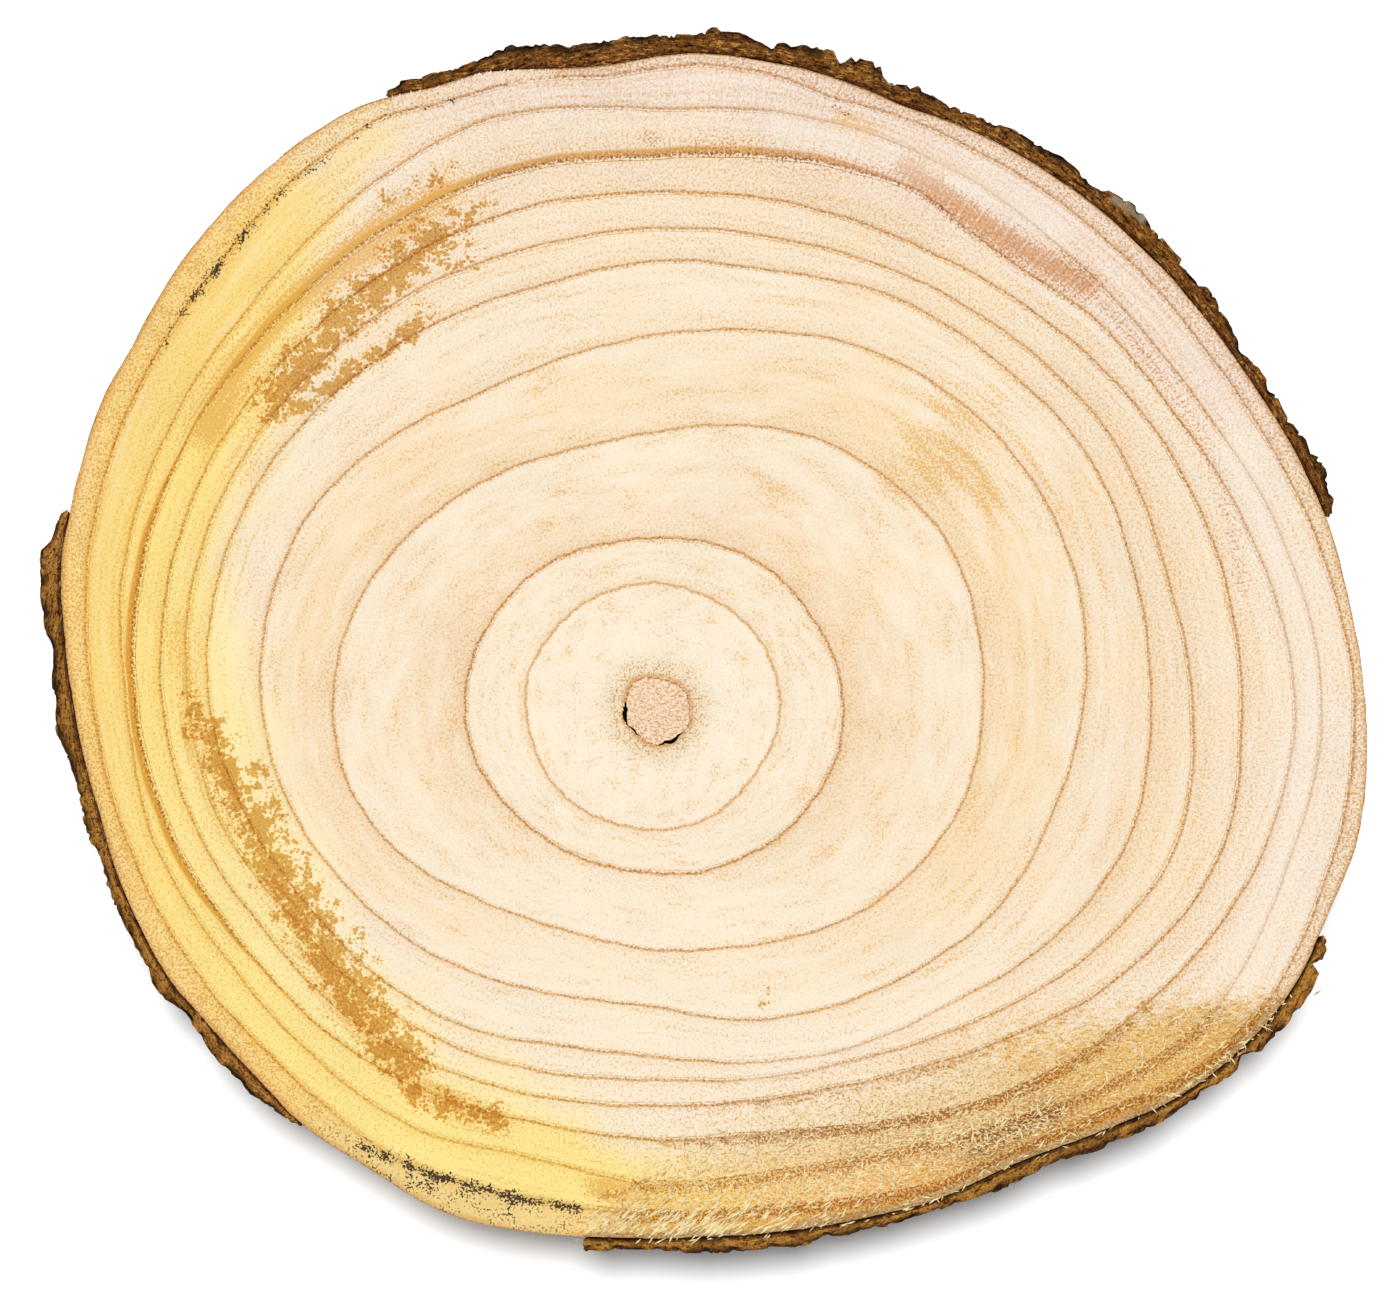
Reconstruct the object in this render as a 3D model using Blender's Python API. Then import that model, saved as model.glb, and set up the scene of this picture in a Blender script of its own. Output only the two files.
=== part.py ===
"""Wood slice: a cross-cut disc of pale wood with three strips of bark left on its edge.

The slice lies on its lower sawn face, +Z is up, and the mesh is in metres. The origin is the middle
of the base of the bounding box. Directions are degrees anticlockwise from +X about the pith, as seen
from above, and radii are measured from the pith.
"""

import math

import bmesh
import bpy
from mathutils import Matrix, Vector

MM = 0.001

# Driving sizes in millimetres
THICKNESS = 28.0
TAPER = 0.8  # by which the lower face is smaller all round
CHAMFER = 0.5  # of the wood's sawn edges
GROOVE_WIDTH = 0.9  # of the soft early wood, worn in along each ring
GROOVE_DEPTH = 0.3
BARK_GAP = 0.35  # between the wood and the loosened bark
BARK_THINNEST = 0.7
CRACK_WIDTH = 0.8  # round the pith
CRACK_DEPTH = 3.0
SEAM_DEPTH = 0.25  # of the closed part of the line round the pith

# Straight runs round the disc, and round the pith, where one run meets RUNS_PER_PITH_RUN of the disc's
DISC_RUNS = 96
RUNS_PER_PITH_RUN = 3

# Outer line of each growth ring from the pith outwards, one row for each direction in steps of 15
RING_STEP = 15.0
RINGS = (
    (25.0, 37.6, 65.6, 85.6, 99.2, 107.6, 117.4, 128.0, 133.4, 140.0),
    (25.0, 37.2, 66.6, 88.0, 99.6, 105.8, 116.6, 124.4, 130.0, 136.4),
    (25.0, 36.2, 67.2, 88.2, 100.2, 106.2, 114.2, 119.4, 124.6, 132.0),
    (24.8, 36.0, 65.2, 86.4, 97.4, 103.2, 110.0, 117.2, 122.8, 130.2),
    (24.6, 35.4, 62.6, 83.2, 95.0, 100.0, 106.4, 116.6, 123.0, 128.8),
    (24.6, 34.6, 58.6, 78.2, 90.6, 97.2, 104.6, 113.6, 122.2, 127.4),
    (25.0, 34.0, 55.2, 74.6, 89.4, 96.0, 103.2, 110.4, 120.0, 127.0),
    (25.0, 34.2, 54.2, 72.4, 87.6, 95.4, 103.4, 111.0, 122.4, 129.8),
    (25.2, 35.4, 55.8, 72.2, 88.6, 96.2, 102.6, 109.8, 118.6, 129.2),
    (25.4, 36.4, 58.2, 75.8, 89.8, 96.2, 101.8, 108.2, 114.2, 124.4),
    (25.6, 37.0, 61.2, 79.2, 91.2, 96.4, 101.8, 107.8, 112.2, 121.2),
    (26.2, 37.8, 63.6, 79.8, 91.0, 95.8, 100.6, 106.4, 110.0, 117.4),
    (25.8, 38.0, 64.4, 78.6, 89.0, 93.2, 98.4, 103.8, 105.6, 112.4),
    (25.4, 37.4, 63.0, 75.6, 84.4, 89.8, 94.8, 99.8, 103.6, 108.8),
    (25.4, 35.8, 58.6, 71.2, 79.8, 83.8, 89.8, 95.0, 99.4, 105.8),
    (25.2, 34.4, 52.8, 67.2, 77.0, 81.2, 87.2, 92.2, 97.6, 103.4),
    (24.8, 33.6, 49.0, 63.0, 74.0, 78.6, 83.6, 89.2, 96.8, 103.8),
    (24.4, 33.0, 47.6, 60.0, 70.0, 75.8, 80.8, 86.2, 93.2, 101.4),
    (24.4, 33.0, 48.4, 59.8, 69.8, 74.4, 79.6, 86.4, 95.4, 101.2),
    (24.4, 34.0, 49.8, 64.6, 73.4, 76.8, 81.2, 88.2, 96.4, 103.4),
    (24.4, 34.6, 53.2, 69.2, 78.4, 81.2, 86.0, 95.6, 102.0, 110.6),
    (24.0, 35.8, 57.8, 74.0, 83.6, 89.2, 95.2, 106.4, 113.2, 118.4),
    (24.0, 36.6, 61.6, 79.4, 92.0, 99.6, 107.4, 115.4, 126.4, 133.6),
    (24.6, 37.6, 64.6, 82.2, 98.4, 107.8, 116.6, 124.2, 130.2, 138.4),
)

# Edge of the wood as (direction, radius)
WOOD_EDGE = (
    (0.0, 142.4),
    (10.0, 140.4),
    (15.0, 139.8),
    (30.0, 135.8),
    (45.0, 134.0),
    (60.0, 132.0),
    (68.0, 130.4),
    (75.0, 131.2),
    (87.0, 131.2),
    (95.0, 128.8),
    (100.0, 130.0),
    (106.0, 132.0),
    (110.0, 131.8),
    (115.0, 134.0),
    (123.0, 133.6),
    (135.0, 130.8),
    (145.0, 127.4),
    (150.0, 126.8),
    (160.0, 124.0),
    (166.0, 122.4),
    (172.0, 119.6),
    (180.0, 116.4),
    (190.0, 113.4),
    (200.0, 112.4),
    (209.0, 111.4),
    (215.0, 109.6),
    (222.0, 108.8),
    (230.0, 109.2),
    (238.0, 108.4),
    (247.0, 109.4),
    (255.0, 108.2),
    (266.0, 106.4),
    (275.0, 106.4),
    (288.0, 109.0),
    (300.0, 113.4),
    (308.0, 116.0),
    (315.0, 121.6),
    (325.0, 132.0),
    (335.0, 138.8),
    (344.0, 141.2),
    (350.0, 143.2),
)

# Corners of the pith as (direction, radius)
PITH_EDGE = (
    (6.0, 6.6),
    (42.0, 6.2),
    (89.0, 6.4),
    (142.0, 7.8),
    (198.0, 6.5),
    (230.0, 6.5),
    (272.0, 7.6),
    (334.0, 7.7),
)

# Where the crack round the pith opens, as (middle, half its length in degrees, share of the full crack)
PITH_CRACKS = (
    (190.0, 24.0, 1.0),
    (228.0, 16.0, 0.6),
    (298.0, 26.0, 0.8),
)

# Outer edge of each bark strip at the upper face, as (direction, radius)
BARK_STRIPS = {
    "bark_top_strip": (
        (15.8, 140.9),
        (17.0, 142.2),
        (19.6, 142.4),
        (20.7, 142.0),
        (21.2, 140.6),
        (22.4, 140.8),
        (24.5, 139.4),
        (29.4, 139.0),
        (30.4, 138.2),
        (33.0, 138.0),
        (36.0, 139.0),
        (37.2, 139.0),
        (38.0, 138.2),
        (42.5, 138.0),
        (44.4, 138.8),
        (45.6, 139.4),
        (48.5, 137.6),
        (50.0, 137.0),
        (54.0, 137.4),
        (56.0, 136.6),
        (58.5, 136.4),
        (60.0, 135.4),
        (63.0, 134.4),
        (67.0, 135.2),
        (69.9, 133.2),
        (70.6, 136.2),
        (73.2, 136.2),
        (74.0, 134.0),
        (74.8, 136.4),
        (76.5, 136.4),
        (78.7, 136.0),
        (80.0, 134.8),
        (82.4, 136.6),
        (85.2, 136.6),
        (86.5, 134.8),
        (92.2, 135.0),
        (93.2, 133.6),
        (95.0, 134.5),
        (97.5, 133.8),
        (101.0, 135.8),
        (104.0, 135.2),
        (108.0, 134.4),
        (110.0, 134.8),
        (112.2, 136.1),
        (112.8, 135.1),
        (113.7, 134.9),
    ),
    "bark_left_strip": (
        (161.4, 123.4),
        (163.0, 125.8),
        (164.5, 125.8),
        (165.6, 127.2),
        (167.5, 126.2),
        (170.0, 125.2),
        (173.0, 123.0),
        (174.5, 121.2),
        (178.0, 120.8),
        (179.5, 120.0),
        (181.0, 120.4),
        (182.5, 120.0),
        (184.0, 118.6),
        (187.0, 117.0),
        (190.0, 116.6),
        (193.0, 116.2),
        (195.0, 115.2),
        (200.0, 115.2),
        (203.0, 114.8),
        (207.5, 114.2),
        (208.7, 115.0),
        (210.8, 114.2),
        (212.5, 112.6),
        (215.0, 112.2),
        (218.0, 112.7),
        (222.0, 112.0),
        (223.6, 112.3),
        (227.0, 110.6),
        (229.8, 110.0),
    ),
    "bark_bottom_strip": (
        (262.3, 109.8),
        (264.5, 109.4),
        (266.0, 108.8),
        (270.0, 108.7),
        (275.0, 109.6),
        (279.0, 110.2),
        (283.0, 111.0),
        (284.5, 111.8),
        (288.0, 111.4),
        (289.5, 112.4),
        (292.0, 112.6),
        (296.0, 114.4),
        (300.0, 115.6),
        (303.0, 117.4),
        (308.5, 120.0),
        (311.5, 121.2),
        (313.2, 122.6),
        (314.5, 124.6),
        (316.3, 126.2),
        (318.5, 128.8),
        (321.5, 131.8),
        (325.0, 134.0),
        (328.2, 137.6),
        (329.5, 136.8),
        (330.5, 139.6),
        (333.0, 141.2),
        (336.5, 143.2),
        (338.2, 143.2),
        (338.8, 141.2),
        (339.4, 143.2),
        (340.3, 143.2),
        (341.2, 141.9),
    ),
}

# Levels down the outside of the bark as shares of the thickness, each with how far the plates have
# wandered round by then, how much of the rim's depth is left, and how far the torn ends draw back
BARK_LEVELS = (
    (1.0, 0.0, 1.0, 0.0),
    (0.8, 0.5, 0.92, 0.9),
    (0.55, -0.6, 1.06, 0.3),
    (0.3, 0.4, 0.94, 1.4),
    (0.0, 1.1, 0.88, 0.6),
)
TORN_END = 6.0  # degrees over which an end's draw-back fades out
BARK_STEP = 360.0 / DISC_RUNS / 3
FINEST_BARK_STEP = 0.55

# Furrows between the bark plates. The wandering is in shares of the pitch, and its waves are in radians
PLATE_PITCH = 5.4  # degrees from one plate to the next
FURROW_SHARE = 0.3  # of the pitch
FURROW_DEPTH = 1.3
WANDER = 0.16
WANDER_DOWN_SIDE = 5.0  # from the lower face to the upper one
WANDER_PER_DEGREE = 0.21
UNEVEN_SPACING = 0.1
UNEVEN_PER_DEGREE = 0.83

SHARP_DEGREES = 30.0
WOOD_COLOUR = (0.93, 0.78, 0.55, 1.0)
WOOD_ROUGHNESS = 0.75
BARK_COLOUR = (0.16, 0.08, 0.035, 1.0)
BARK_ROUGHNESS = 0.9


def spot(direction, radius, height):
    """The point at a direction and radius from the pith, in metres."""
    turn = math.radians(direction)
    return Vector((radius * math.cos(turn), radius * math.sin(turn), height)) * MM


def neighbours(pairs, direction):
    """The two pairs on either side of a direction, with the two beyond them, on a closed outline."""
    direction %= 360.0
    before = [(angle - 360.0, radius) for angle, radius in pairs[-2:]]
    after = [(angle + 360.0, radius) for angle, radius in pairs[:2]]
    points = before + list(pairs) + after
    upper = next(i for i, (angle, _) in enumerate(points) if angle > direction and i > 1)
    return points[upper - 2 : upper + 2]


def smooth_radius(pairs, direction):
    """The radius in a direction on a smooth closed curve through (direction, radius) pairs."""
    (a0, r0), (a1, r1), (a2, r2), (a3, r3) = neighbours(pairs, direction)
    span = a2 - a1
    t = (direction % 360.0 - a1) / span
    slope_1 = (r2 - r0) / (a2 - a0) * span
    slope_2 = (r3 - r1) / (a3 - a1) * span
    rise = r2 - r1
    squared = 3 * rise - 2 * slope_1 - slope_2
    cubed = slope_1 + slope_2 - 2 * rise
    return r1 + slope_1 * t + squared * t**2 + cubed * t**3


def radius_along(pairs, direction):
    """The radius in a direction on the straight runs through (direction, radius) pairs."""
    direction = min(max(direction, pairs[0][0]), pairs[-1][0])
    for (a1, r1), (a2, r2) in zip(pairs, pairs[1:]):
        if direction <= a2:
            return r1 + (r2 - r1) * (direction - a1) / (a2 - a1)
    return pairs[-1][1]


def ring_radius(ring, direction):
    """The radius of one growth ring in a direction."""
    pairs = [(i * RING_STEP, row[ring]) for i, row in enumerate(RINGS)]
    return smooth_radius(pairs, direction)


def wood_radius(direction):
    """The radius of the wood's edge in a direction, on the disc's straight runs."""
    run = 360.0 / DISC_RUNS
    first = math.floor(direction / run) * run
    r1 = smooth_radius(WOOD_EDGE, first)
    r2 = smooth_radius(WOOD_EDGE, first + run)
    to_first = math.radians(direction - first)
    to_second = math.radians(first + run - direction)
    return r1 * r2 * math.sin(math.radians(run)) / (r1 * math.sin(to_first) + r2 * math.sin(to_second))


def level(height):
    """The height function of a flat line."""
    return lambda direction: height


def loop(bm, count, radius_at, height_at):
    """A closed loop of vertices round the pith."""
    directions = [i * 360.0 / count for i in range(count)]
    return [bm.verts.new(spot(d, radius_at(d), height_at(d))) for d in directions]


def skin(bm, first, second):
    """Quads from one closed loop to another of the same count."""
    for i, corner in enumerate(first):
        after = (i + 1) % len(first)
        bm.faces.new((corner, first[after], second[after], second[i]))


def crack_share(direction):
    """How far the crack round the pith is open in a direction, from 0 to 1."""
    share = 0.0
    for middle, half, most in PITH_CRACKS:
        share = max(share, most * max(0.0, 1.0 - abs(direction - middle) / half))
    return share


def inside_edge(inset):
    """The radius function of a line that runs inside the wood's edge."""
    return lambda direction: wood_radius(direction) - inset


def beside_ring(ring, outwards):
    """The radius function of a line that runs beside a growth ring."""
    return lambda direction: ring_radius(ring, direction) + outwards


def beside_pith(outwards):
    """The radius function of a line round the pith, further out where the crack is open."""
    return lambda direction: smooth_radius(PITH_EDGE, direction) + outwards * (1.0 + crack_share(direction))


def disc_profile():
    """Radius function and height of each loop of the disc, from its lower edge up and in to ring one."""
    profile = [
        (inside_edge(TAPER + CHAMFER), 0.0),
        (inside_edge(TAPER), CHAMFER),
        (inside_edge(0.0), THICKNESS - CHAMFER),
        (inside_edge(CHAMFER), THICKNESS),
    ]
    for ring in reversed(range(len(RINGS[0]))):
        profile.append((beside_ring(ring, GROOVE_WIDTH / 2), THICKNESS))
        profile.append((beside_ring(ring, 0.0), THICKNESS - GROOVE_DEPTH))
        profile.append((beside_ring(ring, -GROOVE_WIDTH / 2), THICKNESS))
    return profile


def pith_floor(direction):
    """The height of the bottom of the line round the pith, which is deep where the crack is open."""
    return THICKNESS - SEAM_DEPTH - CRACK_DEPTH * crack_share(direction)


def wood_disc():
    """The disc: a flat lower face, its edge, the upper face with its rings, and the pith in its crack."""
    bm = bmesh.new()
    loops = [loop(bm, DISC_RUNS, radius_at, level(height)) for radius_at, height in disc_profile()]
    bm.faces.new(list(reversed(loops[0])))
    for first, second in zip(loops, loops[1:]):
        skin(bm, first, second)

    count = DISC_RUNS // RUNS_PER_PITH_RUN
    outer = loop(bm, count, beside_pith(CRACK_WIDTH / 2), level(THICKNESS))
    deep = loop(bm, count, beside_pith(0.0), pith_floor)
    inner = loop(bm, count, beside_pith(-CRACK_WIDTH / 2), level(THICKNESS))
    for i in range(count):
        at = i * RUNS_PER_PITH_RUN
        arc = [loops[-1][(at + k) % DISC_RUNS] for k in range(RUNS_PER_PITH_RUN + 1)]
        bm.faces.new(arc + [outer[(i + 1) % count], outer[i]])
    skin(bm, outer, deep)
    skin(bm, deep, inner)
    bm.faces.new(inner)
    return bm


def furrow(direction, share):
    """How deep the furrow between two bark plates is here, from 0 on a plate to 1 at its bottom."""
    wander = WANDER * math.sin(WANDER_DOWN_SIDE * share + WANDER_PER_DEGREE * direction)
    wander += UNEVEN_SPACING * math.sin(UNEVEN_PER_DEGREE * direction)
    across = abs((direction / PLATE_PITCH + wander) % 1.0 - 0.5) / (FURROW_SHARE / 2)
    return max(0.0, 1.0 - across)


def bark_stations(rim):
    """Directions across a strip: its outline's own points, and even steps between them."""
    own = [angle for angle, _ in rim]
    steps = [i * BARK_STEP for i in range(math.ceil(own[0] / BARK_STEP), math.ceil(own[-1] / BARK_STEP))]
    between = [angle for angle in steps if min(abs(angle - other) for other in own) > FINEST_BARK_STEP]
    return sorted(own + between)


def rim_depth(rim, direction):
    """The bark's depth from its inner to its outer face at the upper rim."""
    return max(BARK_THINNEST, radius_along(rim, direction) - wood_radius(direction) - BARK_GAP)


def bark_section(bm, rim, direction):
    """The vertices of a strip's upright section: up its inner face, then down its outer one."""
    from_first = direction - rim[0][0]
    from_last = rim[-1][0] - direction
    near = max(0.0, 1.0 - min(from_first, from_last) / TORN_END)
    inwards = 1.0 if from_first < from_last else -1.0
    outer = []
    inner = []
    for share, wander, kept, drawn in BARK_LEVELS:
        here = direction + inwards * near * drawn
        inside = wood_radius(here) + BARK_GAP - TAPER * (1.0 - share)
        cut = FURROW_DEPTH * furrow(here, share) * (1.0 - near) * math.sqrt(1.0 - share)
        depth = max(BARK_THINNEST, rim_depth(rim, here + wander) * kept - cut)
        outer.append(spot(here, inside + depth, share * THICKNESS))
        inner.append(spot(here, inside, share * THICKNESS))
    return [bm.verts.new(point) for point in (inner[-1], inner[0], *outer)]


def bark_strip(rim):
    """One strip of bark, closed at both of its torn ends."""
    bm = bmesh.new()
    sections = [bark_section(bm, rim, direction) for direction in bark_stations(rim)]
    for first, second in zip(sections, sections[1:]):
        skin(bm, first, second)
    bm.faces.new(sections[-1])
    bm.faces.new(list(reversed(sections[0])))
    return bm


def material(name, colour, roughness):
    """A plain material of one colour."""
    made = bpy.data.materials.new(name)
    made.use_nodes = True
    shader = made.node_tree.nodes["Principled BSDF"]
    shader.inputs["Base Color"].default_value = colour
    shader.inputs["Roughness"].default_value = roughness
    shader.inputs["Metallic"].default_value = 0.0
    return made


def add_object(name, bm, finish):
    """An object made from a finished mesh, with every face triangular and pointing outwards."""
    bmesh.ops.triangulate(bm, faces=bm.faces[:], ngon_method="BEAUTY")
    bmesh.ops.recalc_face_normals(bm, faces=bm.faces[:])
    mesh = bpy.data.meshes.new(name)
    bm.to_mesh(mesh)
    bm.free()
    mesh.shade_smooth()
    mesh.set_sharp_from_angle(angle=math.radians(SHARP_DEGREES))
    mesh.materials.append(finish)
    made = bpy.data.objects.new(name, mesh)
    bpy.context.scene.collection.objects.link(made)
    return made


def centre_on_base(objects):
    """Moves the meshes together, so that the middle of their bounding box's base is the origin."""
    points = [vertex.co for made in objects for vertex in made.data.vertices]
    low = [min(point[axis] for point in points) for axis in range(3)]
    high = [max(point[axis] for point in points) for axis in range(3)]
    base = Vector(((low[0] + high[0]) / 2, (low[1] + high[1]) / 2, low[2]))
    for made in objects:
        made.data.transform(Matrix.Translation(-base))


def main():
    """Clears the scene and builds the slice."""
    for old in list(bpy.data.objects):
        bpy.data.objects.remove(old, do_unlink=True)
    wood = material("wood", WOOD_COLOUR, WOOD_ROUGHNESS)
    bark = material("bark", BARK_COLOUR, BARK_ROUGHNESS)
    pieces = [add_object("wood_disc", wood_disc(), wood)]
    for name, rim in BARK_STRIPS.items():
        pieces.append(add_object(name, bark_strip(rim), bark))
    centre_on_base(pieces)


main()
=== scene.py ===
"""The looks of a wood slice: its grain, stains, sawn patch, bark and torn fibres, on plain pale studio ground.

Lengths in names and tables are millimetres unless they say otherwise. Directions are degrees anticlockwise
from +X about the pith, seen from above, and radii are measured from the pith. A place's age is the number of
growth rings inside it, with the share of the next one.
"""

import math
import random

import bmesh
import bpy
import numpy as np
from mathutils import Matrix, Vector, noise


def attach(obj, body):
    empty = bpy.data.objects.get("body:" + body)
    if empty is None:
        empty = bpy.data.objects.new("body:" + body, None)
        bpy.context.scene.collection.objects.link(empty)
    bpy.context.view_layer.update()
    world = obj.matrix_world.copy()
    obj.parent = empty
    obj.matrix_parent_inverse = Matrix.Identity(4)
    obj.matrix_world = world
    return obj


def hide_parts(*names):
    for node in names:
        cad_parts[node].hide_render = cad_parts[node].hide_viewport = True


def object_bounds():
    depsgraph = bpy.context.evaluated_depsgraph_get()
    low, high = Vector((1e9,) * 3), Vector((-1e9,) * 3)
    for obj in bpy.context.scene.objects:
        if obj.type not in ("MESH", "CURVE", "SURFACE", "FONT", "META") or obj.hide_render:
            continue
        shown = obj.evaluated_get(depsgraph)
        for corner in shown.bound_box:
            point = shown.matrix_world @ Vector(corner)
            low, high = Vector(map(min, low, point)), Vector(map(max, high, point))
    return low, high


bl_info = {
    "name": "Wood slice",
    "version": (1, 0, 0),
    "blender": (4, 5, 0),
    "location": "View3D > Sidebar > Wood slice",
    "description": "Dresses the solids of a wood slice with grain, stains, bark and torn fibres",
    "category": "Object",
}

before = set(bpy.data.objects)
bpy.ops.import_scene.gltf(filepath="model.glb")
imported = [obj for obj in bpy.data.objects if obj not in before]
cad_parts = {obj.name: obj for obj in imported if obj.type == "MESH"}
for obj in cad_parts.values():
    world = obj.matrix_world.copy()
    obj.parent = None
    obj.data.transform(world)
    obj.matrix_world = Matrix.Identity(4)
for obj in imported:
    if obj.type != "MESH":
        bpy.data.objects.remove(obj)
cad_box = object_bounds()

MM = 0.001
PITH = (-9.6601, -13.469)
THICK = cad_box[1].z / MM
TAPER = 0.8
EDGE_LEVEL = 27.5  # where the wood is widest
GROOVE_LEVEL = 27.7
CAD_STATIONS = 96  # directions at which the solid's points stand
PITH_STATIONS = 32
PITH_REACH = 12.0  # within which all of the pith's points lie
SEAM_DEPTH = 0.25  # of the solid's closed line round the pith
SOLID_CRACK_DEPTH = 3.0
RING_COUNT = 10
COLUMNS = 384  # directions at which this piece's points stand
LOOPS_IN_BAND = (13, 8, 18, 13, 9, 5, 6, 7, 6, 6, 4)  # from the pith outwards
SIDE_LOOPS = 15
LIGHT_LEVEL = 1.45  # by which the studio light brightens a finish's colour

# Places of growth, stain and wear. A pair is a direction with a radius or a share.

RING_BOLDNESS = (0.45, 0.75, 0.6, 0.62, 0.66, 0.62, 0.72, 0.8, 0.6, 0.72)
BOLD_RING = 7
BOLD_ARC = ((60, 0.0), (75, 1.0), (135, 1.0), (150, 0.2), (165, 0.9), (200, 0.9), (215, 0.2), (300, 0.0))

# How far the lines of rings eight and ten stray from the solid's grooves
RING_NUDGES = {
    7: ((42.5, 0.0), (46, -1.5), (50, -2.6), (54, -2.8), (58, -2.4), (63, 0.0)),
    9: (
        (68, 0.0), (74, -0.3), (80.7, 2.1), (86, 2.4), (90, 0.8), (94.5, -0.9), (101, -1.1), (105.6, -1.7),
        (110.4, -1.5), (115, 0.4), (118, 0.0),
    ),
}
YELLOW_EDGE = (
    (104, 126), (112, 120), (118, 113), (124, 107), (130, 102), (145, 93), (165, 87), (180, 78), (195, 75), (210, 76),
    (225, 76), (240, 77), (255, 79), (262, 82), (270, 88), (275, 92), (285, 99), (297, 108), (308, 120),
)
YELLOW_FADE = (
    (103, 0.0), (109, 0.22), (115, 0.44), (122, 0.66), (128, 0.86), (135, 1.0), (282, 1.0), (292, 0.5), (302, 0.0),
)
YELLOW_PALER = ((175, 0.0), (200, 0.45), (215, 0.9), (250, 1.0), (290, 1.0), (310, 0.5), (330, 0.0))
CREAM = (
    (60, 0.1), (80, 0.45), (100, 0.45), (120, 0.15), (190, 0.0), (225, 0.5), (245, 1.0), (290, 1.0), (315, 0.5),
    (340, 0.0),
)
SOOTY_RING = (
    (104, 0.0), (108, 0.35), (118, 0.45), (120.5, 0.3), (122.5, 0.85), (125, 0.4), (129, 0.5), (131.5, 0.85),
    (133.5, 0.45), (136.3, 1.0), (138, 0.9), (140, 0.4), (150, 0.25), (160, 0.0),
)
PITH_OUTLINE = (
    (5, 6.8), (28, 6.9), (45.6, 6.4), (70, 5.85), (90, 5.85), (112, 6.4), (132.9, 6.6), (150, 5.95), (169, 5.9),
    (190, 6.1), (206.8, 6.5), (225, 6.1), (242, 6.4), (260, 7.1), (273.9, 7.5), (285, 7.2), (297.8, 7.5), (315, 7.25),
    (333, 7.6), (350, 7.0),
)
CRACK_WIDTH = (
    (150, 0.2), (163, 0.5), (170, 1.2), (184, 1.3), (193, 0.9), (200, 1.2), (212, 1.1), (220, 0.6), (232, 0.5),
    (250, 0.3), (270, 0.35), (280, 0.9), (292, 1.2), (304, 1.0), (314, 0.6), (322, 0.15),
)
SAWN_TINT = ((258, 0.0), (272, 0.1), (285, 0.42), (300, 0.55), (312, 0.75), (322, 1.0), (340, 1.0))
ROSY_EDGE = (
    (10, 165), (18, 142), (26, 126), (36, 118), (50, 112), (65, 112), (80, 115), (95, 118), (104, 121), (112, 128),
    (120, 165),
)
SAWN_EDGE = (
    (250, 170), (258, 125), (262, 106), (265, 98), (269, 90), (275, 84), (285, 81), (295, 83), (305, 86), (314, 94),
    (322, 102), (329.5, 115), (333, 126), (336, 142), (345, 170),
)

# Stains as (half width, strength, ((direction, radius), ...))
BLOTCHES = (
    (4.6, 1.0, ((141, 98), (136, 98.5), (130.7, 99.7), (121, 101.2), (115, 103.5))),
    (4.0, 0.6, ((115, 103.5), (110, 106))),
    (2.2, 0.95, ((140, 92.5), (133, 91), (125.6, 89.5), (120, 91))),
    (3.0, 0.5, ((113, 97), (110, 104))),
    (2.4, 0.5, ((111, 115), (118, 115))),
    (2.6, 0.7, ((179, 93), (184, 91))),
    (3.6, 1.0, ((183, 89), (186, 88), (192.5, 85), (200, 82))),
    (5.4, 0.95, ((200, 82.5), (208.4, 81), (214.7, 81.5), (225, 83.5), (235, 86.5))),
    (2.6, 0.75, ((189, 80.5), (196, 79.5))),
    (2.4, 0.7, ((199, 78.5), (206, 77.5))),
    (2.6, 0.35, ((207, 76), (216, 75), (224, 77))),
    (2.8, 0.85, ((231, 87.3), (238.5, 90.8), (244, 89.5), (250, 87.8))),
    (2.6, 0.5, ((263, 96.5), (269, 97.5))),
    (1.6, 0.5, ((290, 62), (292, 61.6))),
)
GOLDEN_STAINS = (
    (4.0, 1.05, ((148, 106), (138.5, 108), (132.9, 108.6), (126.6, 108.8), (119, 109.8), (112, 111.5))),
    (3.0, 0.5, ((150, 95), (141, 99.5), (134, 103.5))),
    (3.2, 0.6, ((170, 96), (185, 92.5), (196, 88))),
    (3.8, 0.75, ((205, 84), (214, 84.5), (224, 86), (238, 89.5), (248, 88.5))),
    (3.4, 1.0, ((263.5, 97), (270, 98.5))),
    (2.2, 0.8, ((72.5, 123.3), (69.4, 122.4))),
    (2.2, 0.8, ((64.6, 121.3), (61.5, 121.5))),
    (9.0, 0.55, ((42, 74), (33, 79))),
    (6.0, 0.3, ((47, 84), (40, 88))),
    (5.0, 0.25, ((110, 72), (104, 77))),
)
SOOT = (
    (0.35, 1.2, ((73.6, 125.2), (71.8, 125.1))),
    (1.5, 0.95, ((236.3, 105.6), (240, 104.3), (244, 103.4))),
    (1.1, 1.1, ((244, 103.4), (248, 102.6), (252, 102), (256, 101.7), (261, 101.2))),
    (2.4, 0.4, ((237, 107.5), (243, 106.8), (248, 105.5), (254, 103.5))),
)
SOOTY_RIM = ((228, 0.0), (234, 0.7), (240, 1.0), (256, 1.0), (263, 0.55), (272, 0.25), (280, 0.0))
REDDISH_STAINS = (
    (2.9, 1.1, ((65, 119.2), (59.4, 117.3), (54, 117), (48, 118.6), (44.5, 120.6))),
    (1.3, 0.5, ((44.5, 120.6), (39.5, 121.0), (32.5, 121.2))),
    (2.6, 0.3, ((32.5, 122), (22, 122.5), (12, 120))),
    (1.8, 0.5, ((90, 114), (91, 114.2))),
    (3.5, 0.3, ((66, 118), (85, 113))),
)
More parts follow.
